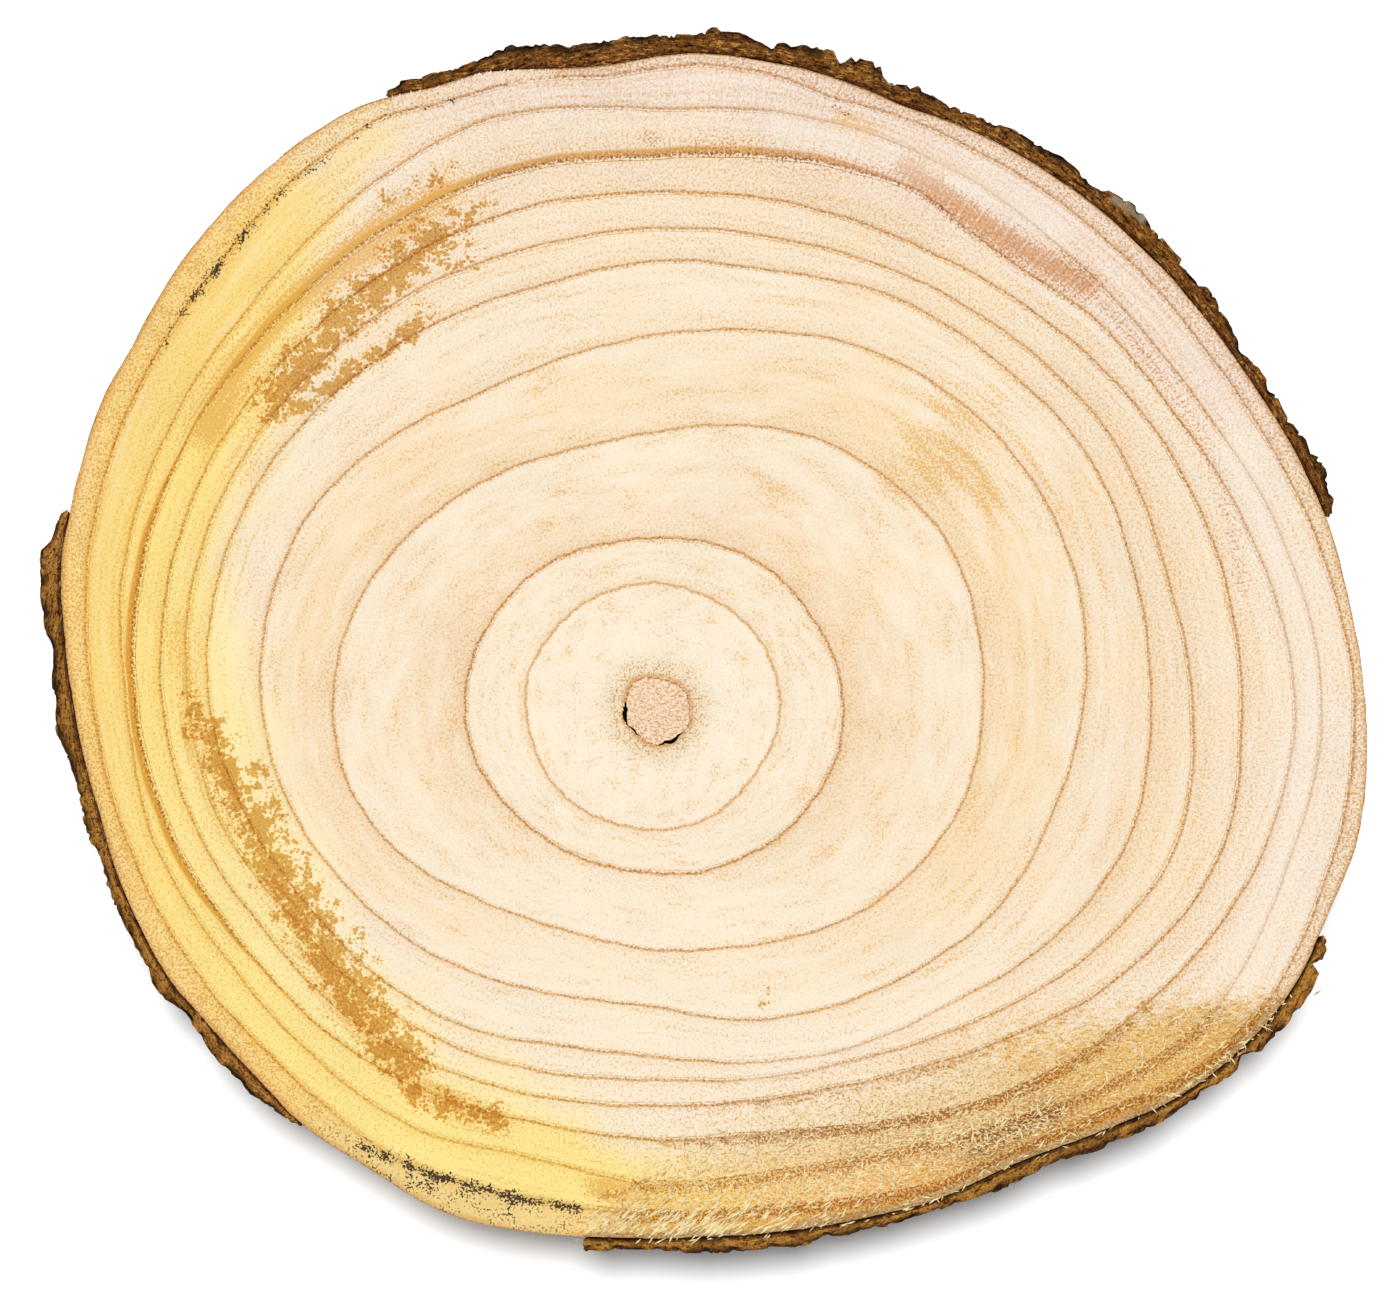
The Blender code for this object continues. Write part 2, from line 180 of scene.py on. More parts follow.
PURPLE_PATCHES = (
    (5.0, 0.45, ((302, 101), (305, 107))),
    (4.5, 1.0, ((306.5, 109), (309.5, 110.5), (314, 113))),
    (4.0, 0.4, ((295, 96), (299, 98))),
)
TAN_WASHES = (
    (7.0, 0.85, ((116, 111), (104, 113), (90, 111), (74, 111), (62, 110))),
    (5.0, 0.7, ((112, 127), (100, 123.5), (88, 122))),
    (5.0, 0.35, ((40, 108), (20, 108), (0, 104), (345, 100))),
    (4.0, 0.5, ((30, 96), (12, 98), (355, 97), (335, 96))),
    (5.0, 0.7, ((117, 128.5), (110, 127))),
    (3.0, 0.6, ((325, 104), (318, 96), (308, 88))),
)
SPECKLED = (
    (2.2, 1.0, ((100, 9.5), (130, 9.5), (160, 9.6), (190, 9.6))),
    (1.3, 1.2, ((352, 10.6), (8, 11.0), (16, 11.2))),
    (1.6, 0.8, ((200, 10), (230, 9.6), (270, 9.8), (315, 10))),
    (6.0, 0.5, ((160, 42), (190, 42), (215, 43))),
    (5.0, 0.4, ((20, 42), (0, 43), (335, 44))),
    (5.0, 0.7, ((106, 128), (98, 127), (90, 126))),
    (4.0, 0.8, ((266, 88), (280, 84), (296, 84), (310, 88))),
)
BLEACHED = (
    (3.4, 1.0, ((78, 119.5), (68, 120.5), (58, 123), (50, 125))),
    (4.5, 0.9, ((24, 127), (10, 130), (0, 131), (345, 130), (334, 130))),
    (3.0, 0.6, ((285, 76), (300, 78), (315, 84))),
)

# Age, then the wood's colour away from every stain
BAND_COLOURS = (
    (0.0, "#F3DAB6"), (0.22, "#FAE9CC"), (0.45, "#FDEED6"), (0.96, "#FCEBD0"), (1.04, "#FAE6C6"), (1.3, "#FCECD2"),
    (1.97, "#FBE9CC"), (2.02, "#F4D8B2"), (2.2, "#F6DCB8"), (2.5, "#FAE5C6"), (2.95, "#FBE9CD"), (3.03, "#F6DCB4"),
    (3.5, "#F9DFB6"), (3.96, "#FAE8CA"), (4.05, "#F8E2C2"), (4.5, "#FBE9CE"), (5.0, "#FAE8CC"), (5.1, "#F6DFBE"),
    (6.0, "#F9E6C8"), (6.1, "#F6DFC0"), (7.0, "#F9E6CA"), (7.1, "#F6E0C4"), (8.0, "#F9E8D0"), (8.1, "#F6E2CA"),
    (9.2, "#F8E8D4"), (10.0, "#F6E4D0"), (10.6, "#F6E2C4"), (11.0, "#E4BC80"),
)
YELLOW_COLOURS = (
    (3.6, "#FEECBC"), (4.6, "#FEE9A6"), (5.6, "#FCE394"), (6.8, "#FCE288"), (8.0, "#FBDE80"), (9.6, "#FADA80"),
    (9.95, "#F6CD70"), (10.1, "#FCDC88"), (10.6, "#F9D684"), (11.0, "#F0BC66"),
)


class WoodSettings(bpy.types.PropertyGroup):
    """Sizes and colours of the wood."""

    ring_depth: bpy.props.FloatProperty(
        name="Ring depth", description="How deep the soft wood of each ring is worn", default=0.04 * MM, unit="LENGTH"
    )
    sawn_relief: bpy.props.FloatProperty(
        name="Sawn relief", description="How rough the sawn patch is", default=0.3 * MM, unit="LENGTH"
    )
    crack_width: bpy.props.FloatProperty(
        name="Crack width", description="How far the crack round the pith is open", default=0.85 * MM, unit="LENGTH"
    )
    crack_depth: bpy.props.FloatProperty(
        name="Crack depth", description="How deep the crack round the pith is", default=2.8 * MM, unit="LENGTH"
    )
    ring_colour: bpy.props.FloatVectorProperty(
        name="Rings", description="Colour of the ring lines", default=(0.72, 0.44, 0.13), subtype="COLOR"
    )
    pore_colour: bpy.props.FloatVectorProperty(
        name="Pores", description="Colour of the open pores", default=(0.4, 0.19, 0.045), subtype="COLOR"
    )
    rosy_colour: bpy.props.FloatVectorProperty(
        name="Rosy wood",
        description="Colour of the wood at the upper right",
        default=(0.82, 0.61, 0.47),
        subtype="COLOR",
    )
    sawn_colour: bpy.props.FloatVectorProperty(
        name="Sawn patch", description="Colour of the rough patch", default=(0.85, 0.52, 0.145), subtype="COLOR"
    )


class BarkSettings(bpy.types.PropertyGroup):
    """Sizes and colours of the bark."""

    furrow_depth: bpy.props.FloatProperty(
        name="Furrow depth", description="How deep the furrows between the plates are", default=1.5 * MM, unit="LENGTH"
    )
    roughness: bpy.props.FloatProperty(
        name="Roughness", description="Height of the small lumps on the bark", default=0.4 * MM, unit="LENGTH"
    )
    cut_colour: bpy.props.FloatVectorProperty(
        name="Cut bark", description="Colour of the bark's sawn face", default=(0.17, 0.06, 0.012), subtype="COLOR"
    )
    gold_colour: bpy.props.FloatVectorProperty(
        name="Bast", description="Colour of the bast's fibres", default=(0.55, 0.24, 0.043), subtype="COLOR"
    )
    plate_colour: bpy.props.FloatVectorProperty(
        name="Plates", description="Colour of the weathered plates", default=(0.13, 0.08, 0.045), subtype="COLOR"
    )


class FibreSettings(bpy.types.PropertyGroup):
    """Number, size and colour of the torn fibres."""

    count: bpy.props.IntProperty(name="Count", description="Fibres on the sawn patch", default=1700)
    length: bpy.props.FloatProperty(
        name="Length", description="Usual length of a fibre", default=1.3 * MM, unit="LENGTH"
    )
    colour: bpy.props.FloatVectorProperty(
        name="Fibres", description="Colour of the torn fibres", default=(1.0, 0.84, 0.45), subtype="COLOR"
    )


class StageSettings(bpy.types.PropertyGroup):
    """The floor, the light and the camera."""

    floor_colour: bpy.props.FloatVectorProperty(
        name="Floor", description="Colour of the floor", default=(0.9, 0.9, 0.9), subtype="COLOR"
    )
    sun: bpy.props.FloatProperty(name="Main light", description="Strength of the main light", default=3.52)
    fill: bpy.props.FloatProperty(name="Fill light", description="Strength of the light all round", default=0.38)
    lens: bpy.props.FloatProperty(
        name="Lens", description="Focal length of the camera", default=100.0, unit="CAMERA"
    )
    height: bpy.props.FloatProperty(
        name="Camera height", description="Camera's height above the slice", default=0.7778, unit="LENGTH"
    )


# Numbers and tables


def linear(colour):
    """Scene colour of a hex colour."""
    shares = [int(colour[i : i + 2], 16) / 255 for i in (1, 3, 5)]
    return tuple(s / 12.92 if s <= 0.04045 else ((s + 0.055) / 1.055) ** 2.4 for s in shares)


def node_points(node):
    """A CAD node's points about the pith, from a copy whose loose triangles are merged."""
    bm = bmesh.new()
    bm.from_mesh(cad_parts[node].data)
    bmesh.ops.remove_doubles(bm, verts=bm.verts[:], dist=1e-6)
    points = np.array([vertex.co[:] for vertex in bm.verts]) / MM
    bm.free()
    return points - (*PITH, 0.0)


def polar(points):
    """Direction and radius of each point."""
    return np.degrees(np.arctan2(points[:, 1], points[:, 0])) % 360, np.hypot(points[:, 0], points[:, 1])


def table_at(points, stations):
    """Radii and heights of points that stand at even directions, a row for each direction."""
    direction, radius = polar(points)
    station = np.rint(direction * stations / 360).astype(int) % stations
    order = np.lexsort((radius, station))
    return radius[order].reshape(stations, -1), points[order, 2].reshape(stations, -1)


def between(table, direction):
    """Rows of an even table round the pith at any direction, on smooth closed curves."""
    at = direction / 360 * len(table)
    first = np.floor(at).astype(int)
    t = (at - first)[:, None]
    p0, p1, p2, p3 = (table[(first + k) % len(table)] for k in (-1, 0, 1, 2))
    return p1 + 0.5 * t * (p2 - p0 + t * (2 * p0 - 5 * p1 + 4 * p2 - p3 + t * (3 * (p1 - p2) + p3 - p0)))


def along(pairs, direction):
    """A value at each direction, straight between (direction, value) pairs."""
    angles, values = zip(*pairs)
    return np.interp(direction, angles, values, period=360)


def smooth(value, low, high):
    """0 below low, 1 above high, and an even curve between them."""
    t = np.clip((value - low) / (high - low), 0, 1)
    return t * t * (3 - 2 * t)


def lumps(points, size, seed=0.0):
    """Soft noise from -1 to 1 at points, with lumps of a size."""
    return np.array([noise.noise(Vector(point)) for point in points / size + seed])


def xy(direction, radius):
    """Places about the pith."""
    turn = np.radians(direction)
    return np.stack((radius * np.cos(turn), radius * np.sin(turn)), axis=-1)


def stained(places, strokes):
    """How strongly a group of strokes stains each place."""
    most = np.zeros(len(places))
    for half_width, strength, path in strokes:
        corners = xy(*np.array(path, float).T)
        for a, b in zip(corners, corners[1:]):
            run = b - a
            share = np.clip((places - a) @ run / (run @ run), 0, 1)
            away = np.linalg.norm(places - a - share[:, None] * run, axis=1)
            most = np.maximum(most, strength * np.exp(-((away / half_width) ** 2)))
    return most


wood_points = node_points("wood_disc")
at_groove = np.abs(wood_points[:, 2] - GROOVE_LEVEL) < 1e-3
at_edge = np.abs(wood_points[:, 2] - EDGE_LEVEL) < 1e-3
at_pith = (polar(wood_points)[1] < PITH_REACH) & (wood_points[:, 2] < THICK - SEAM_DEPTH + 0.01)
RINGS = table_at(wood_points[at_groove & ~at_pith], CAD_STATIONS)[0]
EDGE = table_at(wood_points[at_edge], CAD_STATIONS)[0]
PITH_FLOOR = table_at(wood_points[at_pith], PITH_STATIONS)[1]
CRACK_OPEN = np.clip((THICK - SEAM_DEPTH - PITH_FLOOR) / SOLID_CRACK_DEPTH, 0, 1)


def ring_radii(direction):
    """Radii of the ten ring lines at each direction, a little uneven as grown."""
    radii = between(RINGS, direction)
    turn = np.radians(direction)[:, None]
    ring = np.arange(RING_COUNT)
    for nudged, table in RING_NUDGES.items():
        radii[:, nudged] += along(table, direction)
    return radii + 0.08 * np.sin(29 * turn + 2.1 * ring) + 0.06 * np.sin(53 * turn + 1.3 * ring)


def pith_radius(direction):
    """How far the pith reaches at each direction."""
    turn = np.radians(direction)
    return along(PITH_OUTLINE, direction) + 0.07 * np.sin(17 * turn + 1.0) + 0.05 * np.sin(31 * turn)


def growth(direction, radius):
    """Age, distance past the last ring line, and that line's boldness."""
    rings = ring_radii(direction)
    knots = np.hstack((pith_radius(direction)[:, None], rings, between(EDGE, direction)))
    inside = np.clip((knots <= radius[:, None] + 1e-4).sum(axis=1), 1, RING_COUNT + 1)
    every = np.arange(len(radius))
    low, high = knots[every, inside - 1], knots[every, inside]
    age = np.where(radius < knots[:, 0], radius / knots[:, 0] - 1, inside - 1 + (radius - low) / (high - low))
    last = (rings - 0.52 <= radius[:, None]).sum(axis=1)
    past = np.where(last > 0, radius - rings[every, np.maximum(last - 1, 0)], 60.0)
    bold = np.array((0.0, *RING_BOLDNESS))[last]
    bold += np.where(last - 1 == BOLD_RING, 0.55 * along(BOLD_ARC, direction), 0.0)
    return age, past, bold


# Making pieces


def grid(name, rows, columns):
    """A flat sheet of points, added by its operator."""
    bpy.ops.object.select_all(action="DESELECT")
    bpy.ops.mesh.primitive_grid_add(x_subdivisions=columns - 1, y_subdivisions=rows - 1, size=2, calc_uvs=False)
    made = bpy.context.object
    made.name = made.data.name = name
    return made


def read_points(mesh):
    """A mesh's points as an array."""
    flat = np.empty(len(mesh.vertices) * 3, dtype=np.float32)
    mesh.vertices.foreach_get("co", flat)
    return flat.reshape(-1, 3).astype(float)


def wrap(name, places):
    """A closed skin: a sheet whose rows of points are laid at their places and sewn up."""
    rows, columns = places.shape[:2]
    made = grid(name, rows, columns)
    flat = read_points(made.data)
    row = np.rint((flat[:, 1] + 1) / 2 * (rows - 1)).astype(int)
    column = np.rint((flat[:, 0] + 1) / 2 * (columns - 1)).astype(int)
    points = (places[row, column] + (*PITH, 0.0)) * MM
    made.data.vertices.foreach_set("co", points.astype(np.float32).ravel())
    made.data.update()
    bpy.ops.object.mode_set(mode="EDIT")
    bpy.ops.mesh.select_all(action="SELECT")
    bpy.ops.mesh.remove_doubles(threshold=2e-6)
    bpy.ops.mesh.normals_make_consistent(inside=False)
    bpy.ops.object.mode_set(mode="OBJECT")
    return made


def keep(piece, name, *columns):
    """Keeps three numbers a point on a piece for its finish to read."""
    layer = piece.data.attributes.new(name, "FLOAT_VECTOR", "POINT")
    layer.data.foreach_set("vector", np.stack(columns, axis=1).astype(np.float32).ravel())


def finish_piece(piece, material, slot, *nodes):
    """Gives a piece its material, and ties it to the frame."""
    piece.data.materials.append(material)
    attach(piece, "root")
    if nodes:
        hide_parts(*nodes)


# Making finishes


class Socket:
    """A shader value. Arithmetic on it adds Math nodes."""

    def __init__(self, finish, output):
        self.finish = finish
        self.output = output

    def math(self, operation, *values):
        """A Math node."""
        return self.finish.node("ShaderNodeMath", {"operation": operation}, values)

    def __add__(self, other):
        return self.math("ADD", self, other)

    def __sub__(self, other):
        return self.math("SUBTRACT", self, other)

    def __rsub__(self, other):
        return self.math("SUBTRACT", other, self)

    def __mul__(self, other):
        return self.math("MULTIPLY", self, other)

    def __truediv__(self, other):
        return self.math("DIVIDE", self, other)

    def __abs__(self):
        return self.math("ABSOLUTE", self)

    __radd__ = __add__
    __rmul__ = __mul__


class Finish:
    """A material in the making."""

    def __init__(self, name):
        self.material = bpy.data.materials.new(name)
        self.material.use_nodes = True
        self.tree = self.material.node_tree
        self.shader = self.tree.nodes["Principled BSDF"]

    def node(self, kind, settings=(), values=(), out=0):
        """Adds a node: its settings first, then its sockets' values or links. Returns one output."""
        made = self.tree.nodes.new(kind)
        for setting, value in dict(settings).items():
            if setting == "stops":
                self.set_stops(made.color_ramp, value)
            else:
                setattr(made, setting, value)
        for key, value in values.items() if isinstance(values, dict) else enumerate(values):
            self.give(made.inputs[key], value)
        return Socket(self, made.outputs[out])

    def give(self, socket, value):
        """Links or sets one socket."""
        if isinstance(value, Socket):
            self.tree.links.new(value.output, socket)
        elif isinstance(value, tuple) and socket.type == "RGBA":
            socket.default_value = (*value[:3], 1.0)
        else:
            socket.default_value = value

    def set_stops(self, ramp, stops):
        """Gives a ramp its stops."""
        while len(ramp.elements) > 1:
            ramp.elements.remove(ramp.elements[-1])
        ramp.elements[0].position = stops[0][0]
        for position, _ in stops[1:]:
            ramp.elements.new(position)
        for element, (_, colour) in zip(ramp.elements, stops):
            element.color = (*colour, 1.0)

    def vector(self, operation, *values, out=0, **named):
        """A Vector Math node."""
        return self.node("ShaderNodeVectorMath", {"operation": operation}, {**dict(enumerate(values)), **named}, out)

    def parts(self, vector):
        """The three numbers of a vector."""
        made = self.node("ShaderNodeSeparateXYZ", (), (vector,))
        return [Socket(self, output) for output in made.output.node.outputs]

    def join(self, x, y, z):
        """A vector of three numbers."""
        return self.node("ShaderNodeCombineXYZ", (), (x, y, z))

    def kept(self, name):
        """The three numbers that a piece keeps under a name."""
        return self.parts(self.node("ShaderNodeAttribute", {"attribute_name": name}, out="Vector"))

    def noise(self, at, scale, detail=2.0, roughness=0.5, dimensions="2D"):
        """Soft noise about 0.5."""
        place = "W" if dimensions == "1D" else "Vector"
        values = {place: at, "Scale": scale, "Detail": detail, "Roughness": roughness}
        return self.node("ShaderNodeTexNoise", {"noise_dimensions": dimensions}, values)

    def cells(self, at, scale):
        """Distance to the nearest of scattered points."""
        return self.node("ShaderNodeTexVoronoi", {"voronoi_dimensions": "2D"}, {"Vector": at, "Scale": scale})

    def step(self, value, low, high):
        """0 at low, 1 at high, and an even curve between them."""
        values = {"Value": value, "From Min": low, "From Max": high}
        return self.node("ShaderNodeMapRange", {"interpolation_type": "SMOOTHSTEP"}, values)

    def mix(self, share, first, second, blend="MIX"):
        """A colour between two, or one laid on the other."""
        settings = {"data_type": "RGBA", "blend_type": blend, "clamp_factor": True}
        return self.node("ShaderNodeMix", settings, {0: share, 6: first, 7: second}, 2)

    def ramp(self, value, stops):
        """A colour from a ramp of (place, colour) stops."""
        return self.node("ShaderNodeValToRGB", {"stops": stops}, (value,))

    def stain(self, share, colour, through):
        """A colour darkened by what it is seen through."""
        return self.mix(share, colour, through, "MULTIPLY")

    def shade(self, colour, amount):
        """A colour made lighter or darker."""
        return self.vector("SCALE", colour, Scale=amount)

    def set(self, **values):
        """Sets the shader's own sockets, named with _ for a space."""
        for name, value in values.items():
            self.give(self.shader.inputs[name.replace("_", " ")], value)

    def bump(self, height, distance):
        """A normal from a height."""
        return self.node("ShaderNodeBump", (), {"Strength": 1.0, "Distance": distance, "Height": height})

    def least(self, first, second):
        """The smaller of two values."""
        return first.math("MINIMUM", first, second)

    def most(self, first, second):
        """The larger of two values."""
        return first.math("MAXIMUM", first, second)


def ages(colours):
    """Ramp stops from (age, hex colour) pairs."""
    return [(age / (RING_COUNT + 1), linear(colour)) for age, colour in colours]


def place_on_piece(f):
    """Millimetres about the pith, the level way outwards from it, and the radius."""
    at = f.node("ShaderNodeTexCoord", out="Object")
    about = f.vector("SCALE", f.vector("SUBTRACT", at, (PITH[0] * MM, PITH[1] * MM, 0.0)), Scale=1 / MM)
    level = f.vector("MULTIPLY", about, (1.0, 1.0, 0.0))
    return about, f.vector("NORMALIZE", level), f.vector("LENGTH", level, out="Value")


def wood_finish(settings):
    """The wood's colours, from the growth, zones and stains that the piece keeps."""
    f = Finish("wood")
    about, outwards, _ = place_on_piece(f)
    age, past, bold = f.kept("growth")
    yellow, rosy, sawn = f.kept("zones")
    blotch, golden, soot = f.kept("stains")
    reddish, purple, sooty_rim = f.kept("tints")
    paler, cream, sawn_tint = f.kept("washes")
    tan, speckled, bleached = f.kept("shades")
    side, deep, from_edge = f.kept("place")

    # Noise of several kinds
    cloud = f.noise(about, 0.055, 2.0)
    small_cloud = f.noise(about, 0.3, 1.0)
    grain = f.noise(about, 1.9, 1.5, 0.7)
    streak_at = f.vector("ADD", f.vector("SCALE", outwards, Scale=5.0), f.join(0.0, 0.0, age * 7.0))
    streak = f.noise(streak_at, 1.0, 2.0, 0.65, "3D")
    x, y, _ = f.parts(outwards)
    ray = f.noise(f.node("ShaderNodeMath", {"operation": "ARCTAN2"}, (y, x)), 130.0, 1.0, 0.6, "1D")
    pore_cell = f.cells(f.vector("ADD", about, f.join(grain, small_cloud, 0.0)), 1.4)

    # Bands of growth
    colour = f.ramp(age / (RING_COUNT + 1), ages(BAND_COLOURS))
    colour = f.mix(f.step(cloud, 0.42, 0.66) * f.step(age, 2.4, 3.4) * 0.3, colour, linear("#F6D8A8"))
    colour = f.mix(f.step(streak, 0.45, 0.75) * 0.32 * f.step(age, 0.3, 1.0), colour, linear("#F3D3A6"))
    colour = f.mix(f.step(streak, 0.5, 0.3) * 0.4, colour, linear("#FFF2DE"))
    colour = f.mix(cream * f.step(age, 1.9, 2.1) * 0.7, colour, linear("#FEEFD6"))
    colour = f.mix(tan * (0.3 + 0.7 * small_cloud) * 0.75, colour, linear("#E9C9A0"))

    # Rosy wood at the upper right
    pink = f.mix(f.step(streak, 0.35, 0.7), linear("#F6E3D6"), settings.rosy_colour[:])
    rosy_share = f.step(rosy + (small_cloud - 0.5) * 0.6, 0.1, 0.9)
    colour = f.mix(rosy_share * 0.75, colour, pink)

    # Yellow wood on the left
    share_of_year = f.node("ShaderNodeMath", {"operation": "FRACT"}, (age,))
    gold = f.ramp(age / (RING_COUNT + 1), ages(YELLOW_COLOURS))
    early = f.step(share_of_year, 0.75, 0.0) * (0.25 + 0.75 * streak)
    gold = f.mix(early * 0.5, gold, linear("#F4C552"))
    gold = f.mix(f.step(streak, 0.52, 0.3) * 0.5, gold, linear("#FEEAAE"))
    gold = f.mix(paler * (0.45 + 0.6 * small_cloud) * f.step(age, 10.1, 9.8), gold, linear("#FFE992"))
    gold = f.mix(f.step(yellow, 1.0, -0.1) * 0.6, gold, linear("#FDEDBC"))
    gold = f.mix(paler * f.step(age, 8.8, 7.0) * 0.55, gold, linear("#FFF0C4"))
    yellow_share = f.step(yellow + (cloud - 0.5) * 1.2 + (small_cloud - 0.5) * 0.3, -0.9, 0.9)
    colour = f.mix(yellow_share, colour, gold)

    # Speckle, dense just outside each ring line
    outer_wood = f.step(age, 3.0, 8.0)
    dense = f.step(past, 7.0, 0.0) * bold
    speck_stain = f.mix(yellow_share, (0.8, 0.62, 0.42), (0.88, 0.7, 0.42))
    outermost = f.step(age, 10.02, 10.15)
    specks = f.step(grain, 0.5, 0.68) * (0.18 + 0.25 * outer_wood + dense * 0.5)
    colour = f.stain(specks, colour, speck_stain)
    rim_flecks = f.step(grain + (small_cloud - 0.5) * 0.3, 0.48, 0.6)
    colour = f.stain(outermost * rim_flecks * 0.55, colour, (0.76, 0.52, 0.24))
    pale_speck = f.mix(yellow_share, linear("#FFF8EA"), linear("#FFF0B8"))
    colour = f.mix(f.step(grain, 0.48, 0.32) * (0.3 + 0.2 * outer_wood * (1.0 - yellow_share)), colour, pale_speck)

    # Ring lines and their pores
    broad = f.step(bold, 0.85, 1.35)
    ragged = past + (grain - 0.5) * (0.8 + broad * 0.6)
    line = f.step(abs(ragged - broad * 0.8), 0.46 + broad * 0.65, 0.06 + broad * 0.25)
    glow = f.step(ragged, 2.0, 0.0) * f.step(ragged, -0.3, 0.1) * bold
    ring_stain = f.mix(rosy_share * 0.8, settings.ring_colour[:], (0.7, 0.46, 0.22))
    ring_stain = f.mix(yellow_share, ring_stain, (0.8, 0.56, 0.13))
    ring_stain = f.mix(broad, ring_stain, f.mix(yellow_share, (0.8, 0.57, 0.26), (0.78, 0.53, 0.14)))
    colour = f.stain(glow * 0.35, colour, (0.88, 0.7, 0.46))
    uneven = 0.4 - 0.3 * broad + (1.1 + 0.7 * broad) * grain
    colour = f.stain(line * (0.55 + 0.45 * bold) * uneven, colour, ring_stain)
    crowd = f.least(bold, 0.8) * f.step(past, 3.6, 0.2) + speckled + outermost * 0.5
    row = f.step(abs(past - 0.1), 0.6, 0.15) * f.least(bold, 0.72)
    pore = f.step(pore_cell, 0.14 + 0.15 * crowd + 0.28 * row, 0.05) * f.step(past + speckled, -0.7, -0.2)
    pore = pore * f.step(crowd, 0.1, 0.55)
    colour = f.stain(pore * (0.14 + 0.9 * f.most(row, outermost * 0.3)), colour, settings.pore_colour[:])

    # Stains
    lobes = f.noise(about, 0.3, 3.0, 0.72)
    clot = blotch * 1.6 + (lobes - 0.5) * 4.2 - 0.3
    cover = clot * 0.75 - f.cells(about, 1.2)
    clotted = f.step(cover, 0.0, 0.08) * f.step(blotch, 0.05, 0.2)
    golden_share = f.step(golden + (streak - 0.5) * 2.0 + (grain - 0.5) * 2.2, 0.2, 0.9) * (0.75 - 0.6 * row)
    colour = f.mix(golden_share, colour, linear("#E7AE46"))
    colour = f.stain(broad * row * f.step(grain, 0.42, 0.56) * 0.8, colour, (0.55, 0.34, 0.1))
    clot_stain = f.mix(f.step(cover, 0.38, 0.02), (0.7, 0.43, 0.09), (0.87, 0.63, 0.22))
    clot_stain = f.mix(f.step(grain, 0.5, 0.66) * 0.7, clot_stain, (0.6, 0.36, 0.09))
    colour = f.stain(clotted * 0.92, colour, clot_stain)
    red = f.step(reddish + (grain - 0.5) * 1.9 + (ray - 0.5) * 0.8, 0.1, 1.0) * f.step(reddish, 0.02, 0.3)
    colour = f.stain(red * 0.95, colour, (0.76, 0.47, 0.26))
    rays = (rosy_share * 0.14 + bleached * 0.16) * f.step(small_cloud + grain, 0.7, 1.2)
    colour = f.stain(rays * f.step(ray, 0.48, 0.66), colour, (0.8, 0.64, 0.52))
    colour = f.mix(f.most(rays * f.step(ray, 0.55, 0.34) * 1.5, bleached * 0.45), colour, linear("#FDF3E4"))

    # Soot on the outermost ring line and by it
    colour = f.mix(sooty_rim * (0.4 + 0.4 * grain), colour, linear("#F0D48C"))
    colour = f.stain(f.step(soot, 0.1, 0.9) * 0.3, colour, (0.72, 0.56, 0.3))
    black = f.step(soot * 1.2 + (grain + lobes - 1.0) * 3.4, 0.85, 1.05) * f.step(soot, 0.05, 0.25)
    black_specks = f.step(grain, 0.56, 0.64) * sooty_rim * f.step(small_cloud, 0.4, 0.6)
    colour = f.mix(f.most(black * 0.95, black_specks * 0.8), colour, linear("#241402"))

    # Sawn patch: torn fibres that lie aslant
    slant = f.node("ShaderNodeMapping", (), {"Vector": about, "Rotation": (0.0, 0.0, -0.5), "Scale": (0.5, 1.5, 1.0)})
    torn = f.noise(slant, 0.9, 2.0, 0.75)
    torn_fine = f.noise(slant, 1.9, 1.0, 0.7)
    sawn_share = f.step(sawn + (small_cloud - 0.5) * 1.4 + (torn - 0.5) * 2.6, -0.5, 1.2)
    warm = f.step(sawn_tint + (cloud - 0.5) * 0.4, 0.5, 0.92)
    yellowish = f.step(sawn_tint + (cloud - 0.5) * 0.3 + f.step(from_edge, 8.0, 30.0) * 0.35, 0.55, 0.2)
    ground = f.mix(f.step(sawn, 0.0, 2.4), linear("#FCDDA8"), linear("#F9C87A"))
    ground = f.mix(warm, ground, settings.sawn_colour[:])
    ground = f.mix(yellowish * 0.95, ground, linear("#FFD66A"))
    ground = f.mix(f.step(from_edge, 9.0, 0.5) * 0.7, ground, linear("#E0A84A"))
    ground = f.mix(purple * f.step(torn + (grain - 0.5), 0.25, 0.6), ground, linear("#A67C50"))
    colour = f.mix(sawn_share * (0.5 + 0.5 * f.most(warm, f.step(sawn, 0.2, 1.6))), colour, ground)
    colour = f.stain(sawn_share * f.step(torn, 0.48, 0.68) * 0.4, colour, (0.88, 0.64, 0.28))
    pale_torn = sawn_share * f.step(torn_fine, 0.56, 0.63) * (0.95 - 0.35 * warm) * f.step(from_edge, 0.0, 8.0)
    colour = f.mix(pale_torn, colour, linear("#FFF2CA"))
    on_line = f.step(abs(past - 0.5), 2.2, 0.3) * bold
    dark_torn = f.step(grain + on_line * 0.16, 0.56, 0.62)
    colour = f.stain(sawn_share * on_line * 0.6, colour, (0.84, 0.61, 0.29))
    colour = f.stain(sawn_share * dark_torn * (0.52 + 0.42 * on_line), colour, (0.4, 0.2, 0.06))

    # Browned edge all round
    rim = f.step(from_edge + (small_cloud - 0.5) * 2.0, 1.6, 0.1)
    colour = f.stain(rim * (0.4 + 0.5 * sawn_share), colour, (0.7, 0.44, 0.19))

